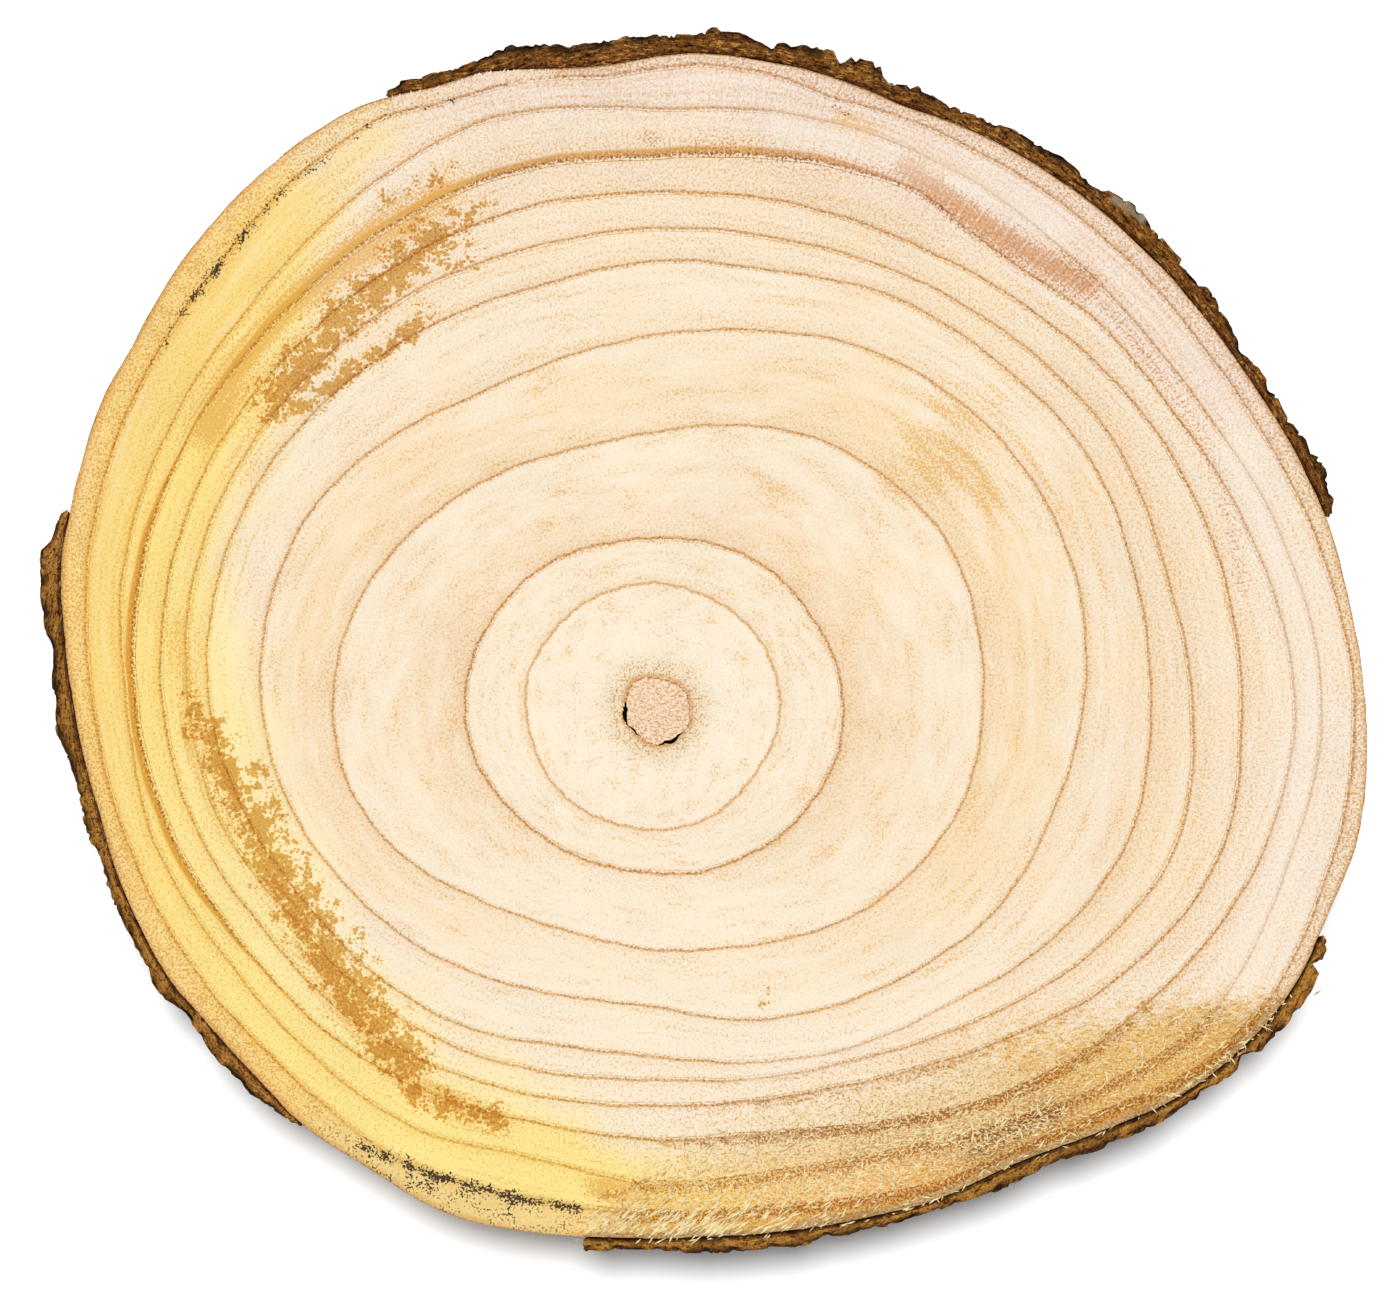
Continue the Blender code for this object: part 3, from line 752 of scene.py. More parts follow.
    # Pith and the crack round it
    pith = f.step(age, 0.01, -0.01)
    halo = f.step(age + (small_cloud - 0.5) * 0.2, 0.32, 0.03)
    colour = f.mix(halo * 0.45, colour, linear("#F0D6AC"))
    colour = f.stain(halo * f.step(grain, 0.52, 0.62) * 0.75, colour, (0.5, 0.33, 0.17))
    pith_colour = f.mix(f.step(grain, 0.4, 0.64), linear("#FFE6C8"), linear("#E6B98C"))
    pith_colour = f.stain(f.step(torn_fine, 0.54, 0.66) * 0.7, pith_colour, (0.62, 0.45, 0.34))
    colour = f.mix(pith, colour, pith_colour)
    round_pith = f.step(abs(age - 0.015 + (grain - 0.5) * 0.14), 0.045, 0.0)
    colour = f.stain(round_pith * (0.3 + 0.9 * small_cloud), colour, (0.78, 0.44, 0.1))
    # Painted shade: the crack's walls are painted near black by how deep they lie below the top face
    colour = f.mix(f.step(deep, 0.1, 0.5), colour, linear("#170C05"))

    # Bare side, with bast left on it
    at_side = f.step(side, 0.25, 0.8)
    upright = f.node("ShaderNodeMapping", (), {"Vector": about, "Scale": (1.0, 1.0, 0.12)})
    bast = f.step(f.noise(upright, 0.17, 1.0, 0.6, "3D") + (grain - 0.5) * 0.5, 0.47, 0.6)
    side_colour = f.mix(f.step(grain, 0.32, 0.68), linear("#E4BF84"), linear("#C79A60"))
    side_colour = f.stain(bast * 0.6, side_colour, (0.74, 0.54, 0.34))
    colour = f.mix(at_side, colour, side_colour)

    # The whole surface: tone and grain
    tone = 0.93 + 0.1 * cloud + 0.05 * grain
    f.set(Base_Color=f.shade(colour, tone / LIGHT_LEVEL))
    f.set(Roughness=0.62 + 0.2 * grain + 0.12 * sawn_share)
    in_sawn = f.step(sawn, -0.2, 0.8)
    height = grain * (0.2 + at_side * 3.0 + in_sawn * 1.0) + torn * in_sawn * 1.8
    f.set(Normal=f.bump(height, 0.16 * MM))
    f.set(Specular_IOR_Level=0.25)
    return f.material


def bark_finish(settings):
    """The bark's colours, from the depth, face and furrows that each piece keeps."""
    f = Finish("bark")
    about, outwards, radius = place_on_piece(f)
    layer, cut, furrow = f.kept("bark")
    warm, weathered, pale = f.kept("wear")
    cloud = f.noise(about, 0.14, 2.0, 0.5, "3D")
    grain = f.noise(about, 1.7, 2.0, 0.7, "3D")
    crumb_at = f.vector("ADD", f.vector("SCALE", outwards, Scale=85.0), f.join(0.0, 0.0, radius * 2.7))
    crumbs = f.noise(crumb_at, 1.0, 1.0, 0.6, "3D")
    ring_at = f.vector("ADD", f.vector("SCALE", outwards, Scale=34.0), f.join(0.0, 0.0, radius * 1.15))
    layers = f.noise(ring_at, 1.0, 3.0, 0.72, "3D")

    # Cut face: layers of bast, crumbs and dark pits
    colour = f.mix(f.step(layers, 0.46, 0.7), settings.cut_colour[:], linear("#93591F"))
    flecks = crumbs * 0.8 + layers * 0.9 + cloud * 0.6 + warm * 0.22
    colour = f.mix(f.step(flecks, 1.0, 1.3) * (0.05 + 1.0 * warm), colour, settings.gold_colour[:])
    colour = f.mix(f.step(layer, 0.24, 0.08) * 0.75, colour, f.mix(warm, linear("#5A260F"), linear("#2C160A")))
    colour = f.mix(f.step(cloud + (layers - 0.5) * 0.5, 0.52, 0.4) * warm * 0.42, colour, linear("#472810"))
    colour = f.mix(f.step(crumbs, 0.57, 0.64) * f.step(layers + cloud, 0.8, 1.15) * 0.7, colour, linear("#DCA054"))
    colour = f.mix(f.step(crumbs + layers * 0.5, 0.66, 0.56) * (0.75 - 0.3 * warm), colour, linear("#3A1E0B"))
    dark = 0.9 - 0.22 * warm
    colour = f.mix(f.step(grain, 0.46, 0.38) * dark, colour, linear("#1B0C05"))
    colour = f.mix(f.step(layers, 0.42, 0.34) * dark, colour, linear("#1A0B05"))
    # Painted shade: near black where the furrows notch the cut face's outer edge
    colour = f.mix(furrow * f.step(layer, 0.45, 0.85) * dark, colour, linear("#150A05"))
    dark_rim = f.step(layer, 0.5, 0.9) * f.step(cloud + (layers - 0.5) * 0.4, 0.56, 0.4) * 0.75
    colour = f.mix(dark_rim, colour, linear("#2B1B0E"))
    colour = f.mix(f.step(layer, 0.86, 1.0) * f.step(cloud + (crumbs - 0.5), 0.5, 0.7) * 0.7, colour, linear("#C8924A"))

    # Weathered outside, with its plates and furrows
    upright = f.node("ShaderNodeMapping", (), {"Vector": about, "Scale": (1.0, 1.0, 0.3)})
    scales = f.noise(upright, 0.55, 3.0, 0.7, "3D")
    outer = f.mix(f.step(scales, 0.36, 0.66), linear("#5A3C22"), settings.plate_colour[:])
    outer = f.mix(weathered * f.step(cloud + (crumbs - 0.5) * 0.4, 0.4, 0.62), outer, linear("#84735E"))
    outer = f.mix(warm * f.step(scales, 0.42, 0.6) * 0.6, outer, linear("#B47C3C"))
    outer = f.mix(f.step(scales, 0.6, 0.75) * 0.6, outer, linear("#8F6A42"))
    # Painted shade: dark brown down the sides of the furrows between the plates
    outer = f.mix(f.step(furrow, 0.25, 0.8) * 0.85, outer, linear("#2B180B"))
    outer = f.mix(f.step(furrow, 0.8, 0.98) * 0.6, outer, linear("#7A4B22"))
    outer = f.mix(f.step(crumbs, 0.58, 0.7) * 0.45, outer, linear("#C29A62"))
    colour = f.mix(f.step(cut, 0.7, 0.3), colour, outer)
    colour = f.mix(pale, colour, f.mix(grain, linear("#8F887C"), linear("#D6C08E")))

    f.set(Base_Color=f.shade(colour, (0.8 + 0.3 * crumbs) / LIGHT_LEVEL))
    f.set(Roughness=0.78 + 0.18 * grain)
    f.set(Normal=f.bump(grain * 1.6 + layers * 1.4, 0.35 * MM))
    f.set(Specular_IOR_Level=0.06)
    return f.material


def fibre_finish(settings):
    """Pale dry fibres."""
    f = Finish("torn_fibres")
    about = place_on_piece(f)[0]
    tint = f.kept("tint")[0]
    tone = f.noise(about, 1.4, 2.0)
    colour = f.mix(tint, settings.colour[:], linear("#C08D48"))
    colour = f.mix(f.kept("tint")[1], colour, linear("#F5DFCB"))
    f.set(Base_Color=f.shade(colour, (0.75 + 0.5 * tone) / LIGHT_LEVEL), Roughness=0.7, Specular_IOR_Level=0.25)
    return f.material


# The wood


def wood_loops(settings, direction):
    """Radius and height of each loop of the wood, from the middle of its upper face round to the lower one's."""
    rings = ring_radii(direction)
    edge = between(EDGE, direction)[:, 0]
    pith = pith_radius(direction)
    shut = np.zeros_like(edge)
    top = THICK + shut
    opening = np.clip(between(CRACK_OPEN, direction)[:, 0], 0, 1) * along(CRACK_WIDTH, direction)
    wide = settings.crack_width / MM * (0.25 + opening)
    deep = 0.18 + settings.crack_depth / MM * opening
    ring_depth = settings.ring_depth / MM

    loops = [(pith * share, top) for share in (0, 0.12, 0.26, 0.4, 0.54, 0.68, 0.8)]
    for across in (-2.2, -1.35, -1.0, -0.45, 0, 0.45, 1.0, 1.35, 2.2):
        loops.append((pith + across * wide * 0.5, top - deep * max(0.0, 1 - abs(across)) ** 0.5))
    previous = pith + 1.1 * wide
    for ring in range(RING_COUNT):
        line = rings[:, ring]
        steps = LOOPS_IN_BAND[ring]
        for k in range(1, steps):
            loops.append((previous + (line - 0.5 - previous) * k / steps, top))
        for across, share in ((-0.5, 0), (-0.22, 0.5), (0, 1), (0.22, 0.55), (0.5, 0.1)):
            loops.append((line + across, top - ring_depth * share))
        previous = line + 0.5
    steps = LOOPS_IN_BAND[-1]
    for k in range(1, steps):
        loops.append((previous + (edge - 0.7 - previous) * k / steps, top))
    loops += [(edge - 0.7, top), (edge - 0.42, top - 0.03), (edge - 0.12, top - 0.14), (edge, shut + EDGE_LEVEL)]
    for k in range(1, SIDE_LOOPS + 1):
        share = k / SIDE_LOOPS
        loops.append((edge - TAPER * share, shut + EDGE_LEVEL + (0.5 - EDGE_LEVEL) * share))
    loops += [(edge - TAPER - 0.15, shut + 0.12), (edge - TAPER - 0.5, shut)]
    previous = edge - TAPER - 0.5
    for ring in reversed(range(RING_COUNT)):
        line = rings[:, ring]
        for share in (0.33, 0.67):
            loops.append((previous + (line + 0.4 - previous) * share, shut))
        loops += [(line + 0.4, shut), (line, shut + ring_depth), (line - 0.5, shut)]
        previous = line - 0.5
    loops += [(previous * 0.7 + pith * 0.3, shut), (previous * 0.35 + pith * 0.65, shut)]
    loops += [(pith + 0.3, shut), (pith, shut + 0.25), (pith - 0.3, shut)]
    loops += [(pith * share, shut) for share in (0.66, 0.33, 0)]
    return np.array([radius for radius, _ in loops]), np.array([height for _, height in loops])


def wood_places(settings):
    """Places of the wood's points, a row for each loop."""
    direction = np.arange(COLUMNS + 1) % COLUMNS * 360 / COLUMNS
    radius, height = wood_loops(settings, direction)
    around = np.broadcast_to(direction, radius.shape)
    flat = np.concatenate((xy(around, radius), height[..., None]), axis=-1)
    points = flat.reshape(-1, 3)

    sawn = smooth(radius - along(SAWN_EDGE, direction), -2, 6) * (height > THICK - 0.6)
    relief = settings.sawn_relief / MM
    rough = (lumps(points, 1.7) + 0.6 * lumps(points, 4.5, 9.0)).reshape(radius.shape)
    flat[..., 2] -= sawn * relief * (0.35 + 0.65 * np.abs(rough))

    side = (height < THICK - 0.05) & (height > 0.05) & (radius > 60)
    upright = points * (1, 1, 0.12)
    grown = (0.16 * lumps(upright, 1.6, 3.0) + 0.25 * lumps(upright, 9.0, 5.0)).reshape(radius.shape)
    out = xy(around, np.ones_like(radius))
    flat[..., :2] += out * (np.minimum(grown, 0.1) * side)[..., None]
    return flat


def keep_wood_places(piece):
    """Works out growth, zones and stains at each of the wood's points."""
    points = read_points(piece.data) / MM - (*PITH, 0.0)
    direction, radius = polar(points)
    edge = between(EDGE, direction)[:, 0]
    age, past, bold = growth(direction, radius)
    upper = points[:, 2] > THICK / 2
    on_side = (points[:, 2] < THICK - 0.08) & (points[:, 2] > 0.08) & (radius > edge - 1.6)
    near_pith = np.abs(radius - pith_radius(direction)) < 2.4
    # deep is how far below the top face a point by the pith lies; the finish paints shade in the crack from it
    deep = np.where(near_pith & upper, THICK - points[:, 2], 0)

    uneven = 3.0 * lumps(points * (1, 1, 0), 16.0, 2.0)
    yellow = np.minimum((radius - along(YELLOW_EDGE, direction) + uneven) / 10, 1)
    yellow -= 1.9 * (1 - along(YELLOW_FADE, direction))
    rosy = smooth(radius - along(ROSY_EDGE, direction) + uneven, -7, 9)
    sawn = np.where(upper, (radius - along(SAWN_EDGE, direction) + uneven * 0.7) / 10, -3)
    places = points[:, :2]
    sooty = along(SOOTY_RIM, direction) * smooth(age, 9.85, 10.05)

    sooty_ring = along(SOOTY_RING, direction) * np.exp(-(((age - 10) / 0.12) ** 2))
    soot = np.maximum(stained(places, SOOT), sooty_ring) * upper

    keep(piece, "growth", age, past, bold)
    keep(piece, "zones", np.clip(yellow, -3, 3), rosy, np.clip(sawn, -3, 5))
    keep(piece, "stains", stained(places, BLOTCHES), stained(places, GOLDEN_STAINS), soot)
    keep(piece, "tints", stained(places, REDDISH_STAINS), stained(places, PURPLE_PATCHES), sooty)
    keep(piece, "washes", along(YELLOW_PALER, direction), along(CREAM, direction), along(SAWN_TINT, direction))
    keep(piece, "shades", *(stained(places, strokes) for strokes in (TAN_WASHES, SPECKLED, BLEACHED)))
    keep(piece, "place", on_side.astype(float), deep, edge - radius)


class SLICE_OT_wood(bpy.types.Operator):
    """Makes the wood with its rings, pith, crack and sawn patch"""

    bl_idname = "slice.wood"
    bl_label = "Wood"

    def execute(self, context):
        settings = context.scene.slice_wood
        piece = wrap("wood", wood_places(settings))
        bpy.ops.object.shade_smooth_by_angle(angle=math.radians(40))
        keep_wood_places(piece)
        finish_piece(piece, wood_finish(settings), "wood", "wood_disc")
        return {"FINISHED"}


# The bark

STRIPS = {"bark_top": "bark_top_strip", "bark_left": "bark_left_strip", "bark_bottom": "bark_bottom_strip"}
STRIP_WARMTH = {"bark_top": 0.15, "bark_left": 0.75, "bark_bottom": 0.95}
RUGGED = {"bark_top_strip": 0.75, "bark_left_strip": 0.3, "bark_bottom_strip": 0.4}
STATION_STEP = 0.2  # degrees between a strip's sections
LEVELS = (0.0, 8.4, 15.4, 22.4, 28.0)  # heights at which the solid's outer points stand
BARK_GAPS = {"bark_top_strip": 0.05, "bark_left_strip": 0.05, "bark_bottom_strip": 0.3}
BARK_THINNEST = 0.7
BARK_RADIUS = 125  # at which a strip is rolled out flat
TORN_END = 6.0  # degrees over which a torn end draws back
WEATHERED = (
    (16, 0.3), (20, 0.7), (30, 0.2), (42, 0.3), (44.5, 1.0), (48.5, 1.0), (50, 0.3), (66, 0.6), (90, 0.7), (113, 0.2),
    (160, 0.8), (186, 0.7), (230, 0.4), (262, 0.3), (300, 0.5), (341, 0.8),
)
LICHEN = (44.6, 48.4)  # directions between which it grows


def strip_levels(node):
    """Directions and radii of a strip's outer points at each level, from the bottom up."""
    points = node_points(node)
    direction, radius = polar(points)
    wood = between(EDGE, direction)[:, 0] - TAPER * (1 - points[:, 2] / THICK)
    levels = []
    for height in LEVELS:
        here = (np.abs(points[:, 2] - height) < 0.05) & (radius > wood + BARK_THINNEST)
        order = np.argsort(direction[here])
        levels.append((direction[here][order], radius[here][order]))
    return levels


def rolled_out(direction, height):
    """Places on a strip when it is rolled out flat."""
    spread = direction * math.pi / 180 * BARK_RADIUS
    return np.stack((spread, height, np.zeros_like(spread)), axis=-1).reshape(-1, 3)


def plates(outside):
    """Furrows between the bark's upright plates, 0 to 1, and how far each plate stands out, -1 to 1."""
    warp = 2.6 * lumps(outside * (1, 0.45, 1), 7.0, 4.0) + 1.1 * lumps(outside * (1, 0.6, 1), 2.4, 6.0)
    breadth = 0.2 + 0.12 * lumps(outside, 5.0, 2.0)
    furrow, stand = [], []
    for (x, y, _), bend in zip(outside, warp):
        distances, centres = noise.voronoi(Vector(((x + bend) / 6.4, (y + 2.4 * bend) / 22.0, 0.3)))
        furrow.append(distances[1] - distances[0])
        stand.append(noise.noise(centres[0] * 4.7))
    fissure = 0.75 * smooth(-np.abs(lumps(outside * (1, 0.22, 1), 3.6, 11.0)), -0.11, -0.01)
    return np.maximum(1 - smooth(np.array(furrow), 0.02, breadth), fissure), np.clip(np.array(stand) * 2.2, -1, 1)


def bark_places(settings, node):
    """Places of a strip's points, a row for each station, with the layer, face and furrow of each."""
    levels = strip_levels(node)
    own = levels[-1][0]
    stations = np.union1d(np.round(np.arange(own[0], own[-1], STATION_STEP), 3), np.round(own, 3))

    # Round a section: up the inner face, out over the cut face, down the outside, back under
    up = np.linspace(0, 1, 10)
    out = np.linspace(0, 1, 12)
    section = [(s, 0.0) for s in up[:-1]] + [(1.0, f) for f in out[:-1]]
    section += [(s, 1.0) for s in np.linspace(1, 0, 42)[:-1]] + [(0.0, f) for f in out[:0:-1]]
    share = np.array([s for s, _ in section])
    layer = np.array([f for _, f in section])

    # The torn ends draw back by a different amount at each level
    near_first = np.clip(1 - (stations - own[0]) / TORN_END, 0, 1)
    near_last = np.clip(1 - (own[-1] - stations) / TORN_END, 0, 1)
    heights = np.array(LEVELS) / THICK
    angle_at, outer_at = [], []
    for angles, radii in levels:
        here = stations + near_first * (angles[0] - own[0]) + near_last * (angles[-1] - own[-1])
        angle_at.append(here)
        outer_at.append(np.interp(here, angles, radii))
    angle = np.array([np.interp(share, heights, column) for column in np.array(angle_at).T])
    outer = np.array([np.interp(share, heights, column) for column in np.array(outer_at).T])
    inner = between(EDGE, angle.ravel())[:, 0].reshape(angle.shape) + BARK_GAPS[node] - TAPER * (1 - share)

    from_end = np.minimum(stations - own[0], own[-1] - stations)[:, None]
    height = np.broadcast_to(share * THICK, angle.shape)
    outside = rolled_out(angle, height)

    # Furrows between upright plates, and the lumps on them
    furrow, plate = plates(outside)
    furrow, plate = furrow.reshape(angle.shape), plate.reshape(angle.shape)
    lump = (lumps(outside * (1, 0.4, 1), 1.5, 7.0) + 0.8 * lumps(outside, 3.4, 1.0)).reshape(angle.shape)

    below = np.sqrt(np.clip(1 - share, 0, 1))
    depth = outer - inner
    rugged = RUGGED[node]
    give = settings.furrow_depth / MM * furrow * (0.6 * rugged + (1 - 0.6 * rugged) * below)
    stands_out = plate * (0.6 * rugged + 0.6 * below) * (1 - furrow)
    change = stands_out + rugged * lump * settings.roughness / MM * (0.55 + 0.45 * below) - give
    new_depth = np.maximum(np.maximum(0.55, depth * 0.35), depth + change)
    radius = inner + new_depth * layer

    # Cut face: rough, chipped down towards its outer edge
    cut_rough = lumps(np.stack((outside[:, 0], (radius * 1.8).ravel(), outside[:, 1] / 9), axis=1), 1.3, 2.0)
    cut_rough = cut_rough.reshape(angle.shape)
    chip = np.clip(lumps(outside * (1, 0, 1), 3.2, 6.0).reshape(angle.shape) + 0.25, 0, 1)
    on_top = (share > 0.999) * smooth(layer, 0.02, 0.25)
    drop = on_top * (0.22 + 0.3 * np.abs(cut_rough) + chip * 2.4 * smooth(layer, 0.45, 1.0))
    under = (share < 0.001) * smooth(layer, 0.05, 0.3)
    lift = under * (0.1 + 0.2 * np.abs(cut_rough))

    # Torn ends
    through = np.broadcast_to(layer * 4, angle.shape).ravel()
    ragged = lumps(np.stack((outside[:, 1], through, outside[:, 2]), axis=1), 1.8, 8.0)
    inwards = np.where(stations[:, None] - own[0] < own[-1] - stations[:, None], 1.0, -1.0)
    angle = angle + inwards * 0.35 * np.clip(ragged.reshape(angle.shape) + 0.3, 0, 1) * smooth(2.0 - from_end, 0, 2)

    places = np.concatenate((xy(angle, radius), (height - drop + lift)[..., None]), axis=-1)
    ends = []
    for row in (places[0], places[-1]):
        centre = row.mean(axis=0)
        ends.append([centre + (row - centre) * k for k in (0.0, 0.5, 0.85)])
    return np.concatenate((np.array(ends[0]), places, np.array(ends[1])[::-1]))


def keep_bark_places(name, piece, node):
    """Works out the layer, face, furrows and wear at each point of a strip."""
    rim = strip_levels(node)[-1]
    points = read_points(piece.data) / MM - (*PITH, 0.0)
    direction, radius = polar(points)
    inner = between(EDGE, direction)[:, 0] + BARK_GAPS[node] - TAPER * (1 - points[:, 2] / THICK)
    outer = np.interp(direction, *rim)
    layer = np.clip((radius - inner) / np.maximum(outer - inner, 0.5), 0, 1.2)

    furrow = plates(rolled_out(direction, points[:, 2]))[0]

    normals = np.empty(len(piece.data.vertices) * 3, dtype=np.float32)
    piece.data.vertices.foreach_get("normal", normals)
    cut = smooth(np.abs(normals.reshape(-1, 3)[:, 2]), 0.35, 0.75)
    cut = np.maximum(cut, layer < 0.35)
    weathered = along(WEATHERED, direction)
    lichen = smooth(direction, LICHEN[0], LICHEN[0] + 0.4) * smooth(-direction, -LICHEN[1], -LICHEN[1] + 0.4)
    pale = lichen * smooth(layer, 0.55, 0.75) * 0.7
    warm = np.full(len(points), STRIP_WARMTH[name])
    keep(piece, "bark", layer, cut, furrow)
    keep(piece, "wear", warm, weathered, pale)


class SLICE_OT_bark(bpy.types.Operator):
    """Makes the three strips of bark"""

    bl_idname = "slice.bark"
    bl_label = "Bark"

    def execute(self, context):
        settings = context.scene.slice_bark
        material = bark_finish(settings)
        for name, node in STRIPS.items():
            places = bark_places(settings, node)
            piece = wrap(name, np.concatenate((places, places[:, :1]), axis=1))
            bpy.ops.object.shade_smooth_by_angle(angle=math.radians(50))
            keep_bark_places(name, piece, node)
            finish_piece(piece, material, "bark", node)
        return {"FINISHED"}


# Torn fibres

LONG_FIBRES = 240  # by the edge at the bottom
BARK_FIBRES = 520  # along the left end of the top strip of bark
CRACK_FIBRES = 26

# Heaps of them, as a place about the pith, the spread each way and the count
STICK_HEAPS = (
    (59, -84, 9, 2.2, 70), (50, -88, 7, 2.5, 40), (95, -72, 14, 4, 60), (74, -82, 6, 3, 40), (33, -96, 8, 3, 60),
)


def sliver():
    """Points and faces of one fibre a unit long, tapered to both ends."""
    bpy.ops.object.select_all(action="DESELECT")
    bpy.ops.mesh.primitive_cube_add(size=1, calc_uvs=False)
    bpy.ops.object.mode_set(mode="EDIT")
    bpy.ops.mesh.select_all(action="SELECT")
    bpy.ops.transform.resize(value=(1.0, 0.2, 0.09), center_override=(0, 0, 0))
    bpy.ops.mesh.subdivide(number_cuts=1)
    bpy.ops.object.mode_set(mode="OBJECT")
    made = bpy.context.object
    points = read_points(made.data)
    taper = 1 - 0.8 * np.abs(points[:, 0] * 2) ** 1.5
    points[:, 1:] *= taper[:, None]
    faces = [tuple(face.vertices) for face in made.data.polygons]
    bpy.data.objects.remove(made, do_unlink=True)
    return points, faces


def edge_at(direction):
    """Radius of the wood's edge at one direction."""
    return float(between(EDGE, np.array([direction]))[0, 0])


def scattered(rng, settings):
    """Direction, radius, length, heading and tint of each fibre."""
    found = []
    while len(found) < settings.count:
        direction = rng.uniform(261, 337)
        inner = float(along(SAWN_EDGE, direction))
        edge = edge_at(direction)
        radius = rng.uniform(inner, edge + (0.6 if direction > 268 else -1.2))
        if rng.random() > 0.12 + 0.88 * min(1.0, (radius - inner) / 9):
            continue
        low_left = direction < 290 and radius > edge - 9
        heading = rng.gauss(38, 16) if low_left or rng.random() < 0.5 else rng.uniform(0, 180)
        length = settings.length / MM * rng.uniform(0.4, 1.5) * (2.0 if rng.random() < 0.05 else 1.0)
        found.append((direction, radius, length, heading, 0.9 * rng.random() ** 1.6))
    for _ in range(LONG_FIBRES):
        direction = min(max(rng.gauss(275, 7), 263), 305)
        edge = edge_at(direction)
        radius = edge - (0.8 if direction > 268 else 1.6) - abs(rng.gauss(0.0, 3.4))
        found.append((direction, radius, rng.uniform(1.4, 3.2), rng.gauss(35, 10), 0.4 * rng.random() ** 2))
    for x, y, wide, high, count in STICK_HEAPS:
        for _ in range(count):
            place = np.array([[rng.gauss(x, wide), rng.gauss(y, high)]])
            direction, radius = (float(part[0]) for part in polar(place))
            radius = min(radius, edge_at(direction) - 1.2)
            found.append((direction, radius, rng.uniform(0.9, 2.3), rng.gauss(30, 40), 0.3 * rng.random() ** 2))
    for _ in range(BARK_FIBRES):
        direction = rng.uniform(99, 113.4)
        edge = edge_at(direction)
        radius = edge + rng.uniform(-2.8, -0.3)
        found.append((direction, radius, rng.uniform(0.5, 1.3), rng.uniform(20, 120), -0.6 - 0.4 * rng.random()))
    for _ in range(CRACK_FIBRES):
        direction = rng.choice((rng.uniform(196, 226), rng.uniform(172, 186)))
        radius = float(pith_radius(direction)) + rng.uniform(0.2, 1.6)
        found.append((direction, radius, rng.uniform(0.5, 1.3), rng.uniform(60, 150), 0.15 * rng.random()))
    return found


class SLICE_OT_fibres(bpy.types.Operator):
    """Scatters torn fibres over the sawn patch, along the bark and in the crack"""

    bl_idname = "slice.fibres"
    bl_label = "Torn fibres"

    def execute(self, context):
        settings = context.scene.slice_fibres
        rng = random.Random(11)
        unit, faces = sliver()
        points, tints, all_faces = [], [], []
        for i, (direction, radius, length, heading, tint) in enumerate(scattered(rng, settings)):
            turn = math.radians(heading)
            tip = rng.uniform(-0.08, 0.12)
            thick = rng.uniform(0.8, 1.6) / max(length, 0.7) * (1.35 if length > 1.8 else 1.0)
            body = unit * (length, length * thick, length * thick)
            x = body[:, 0] * math.cos(turn) - body[:, 1] * math.sin(turn)
            y = body[:, 0] * math.sin(turn) + body[:, 1] * math.cos(turn)
            z = body[:, 2] + body[:, 0] * tip + THICK + rng.uniform(-0.04, 0.05)
            centre = xy(direction, radius) + PITH
            points.append(np.stack((x + centre[0], y + centre[1], z), axis=1) * MM)
            tints.append(np.full(len(unit), tint))
            all_faces += [tuple(v + i * len(unit) for v in face) for face in faces]
        mesh = bpy.data.meshes.new("torn_fibres")
        mesh.from_pydata(np.concatenate(points).tolist(), [], all_faces)
        piece = bpy.data.objects.new("torn_fibres", mesh)
        context.scene.collection.objects.link(piece)
        tints = np.concatenate(tints)
        keep(piece, "tint", np.maximum(tints, 0), np.maximum(-tints, 0), tints * 0)
        finish_piece(piece, fibre_finish(settings), "wood")
        return {"FINISHED"}


# The stage

FLOOR_SIZE = 6.0  # metres
SUN_SPREAD = 18  # degrees across, for soft shadows
SUN_TILT = (-17, -1.5)  # degrees about X and Y
PICTURE_MIDDLE = (9.0, 10.5)  # from the pith


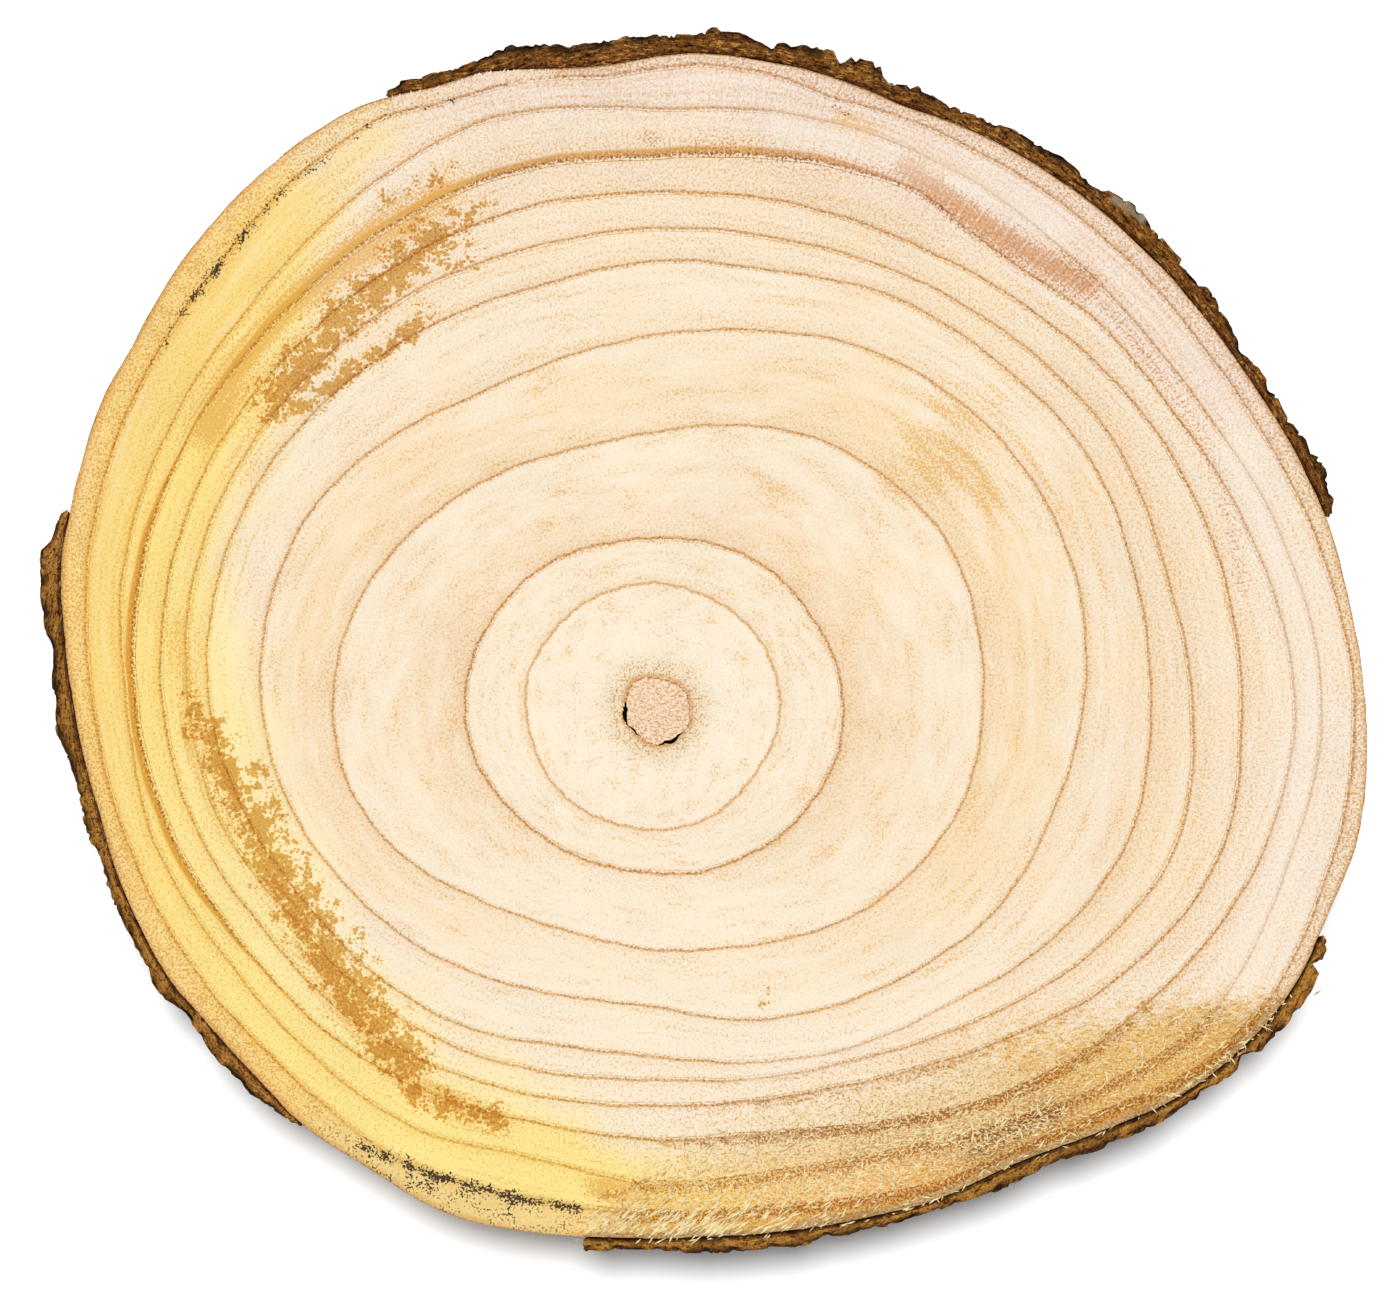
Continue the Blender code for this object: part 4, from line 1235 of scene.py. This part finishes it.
class SLICE_OT_stage(bpy.types.Operator):
    """Adds the floor, the lights and the camera"""

    bl_idname = "slice.stage"
    bl_label = "Stage"

    def execute(self, context):
        settings = context.scene.slice_stage
        scene = context.scene
        bpy.ops.object.select_all(action="DESELECT")
        bpy.ops.mesh.primitive_plane_add(size=FLOOR_SIZE, location=(0, 0, 0))
        floor = bpy.context.object
        floor.name = "floor"
        f = Finish("floor")
        f.set(Base_Color=settings.floor_colour[:], Roughness=0.9, Specular_IOR_Level=0.1)
        floor.data.materials.append(f.material)

        sun_data = bpy.data.lights.new("main_light", "SUN")
        sun_data.energy = settings.sun
        sun_data.angle = math.radians(SUN_SPREAD)
        sun = bpy.data.objects.new("main_light", sun_data)
        sun.rotation_euler = (math.radians(SUN_TILT[0]), math.radians(SUN_TILT[1]), 0)
        scene.collection.objects.link(sun)

        world = bpy.data.worlds.new("studio")
        world.use_nodes = True
        world.node_tree.nodes["Background"].inputs["Color"].default_value = (1.0, 1.0, 1.0, 1.0)
        world.node_tree.nodes["Background"].inputs["Strength"].default_value = settings.fill
        scene.world = world

        camera_data = bpy.data.cameras.new("camera")
        camera_data.lens = settings.lens
        camera_data.sensor_width = 36
        camera_data.clip_start = 0.01
        camera = bpy.data.objects.new("camera", camera_data)
        x, y = (place + shift for place, shift in zip(PITH, PICTURE_MIDDLE))
        camera.location = (x * MM, y * MM, THICK * MM + settings.height)
        scene.collection.objects.link(camera)
        scene.camera = camera
        scene.view_settings.view_transform = "Standard"
        return {"FINISHED"}


class SLICE_PT_panel(bpy.types.Panel):
    """Lists the pieces of the wood slice"""

    bl_label = "Wood slice"
    bl_idname = "SLICE_PT_panel"
    bl_space_type = "VIEW_3D"
    bl_region_type = "UI"
    bl_category = "Wood slice"

    def draw(self, context):
        for operator, settings in PIECES:
            self.layout.operator(operator.bl_idname)
            group = getattr(context.scene, settings)
            for name in group.bl_rna.properties.keys():
                if name not in ("rna_type", "name"):
                    self.layout.prop(group, name)


GROUPS = {
    "slice_wood": WoodSettings,
    "slice_bark": BarkSettings,
    "slice_fibres": FibreSettings,
    "slice_stage": StageSettings,
}
PIECES = (
    (SLICE_OT_wood, "slice_wood"),
    (SLICE_OT_bark, "slice_bark"),
    (SLICE_OT_fibres, "slice_fibres"),
    (SLICE_OT_stage, "slice_stage"),
)


def register():
    """Registers the classes and the scene's settings."""
    for name, group in GROUPS.items():
        bpy.utils.register_class(group)
        setattr(bpy.types.Scene, name, bpy.props.PointerProperty(type=group))
    for operator, _ in PIECES:
        bpy.utils.register_class(operator)
    bpy.utils.register_class(SLICE_PT_panel)


def unregister():
    """Takes all of it away again."""
    bpy.utils.unregister_class(SLICE_PT_panel)
    for operator, _ in reversed(PIECES):
        bpy.utils.unregister_class(operator)
    for name, group in reversed(GROUPS.items()):
        delattr(bpy.types.Scene, name)
        bpy.utils.unregister_class(group)


def main():
    """Builds every piece and the stage."""
    register()
    bpy.ops.slice.wood()
    bpy.ops.slice.bark()
    bpy.ops.slice.fibres()
    bpy.ops.slice.stage()


if __name__ == "__main__":
    main()
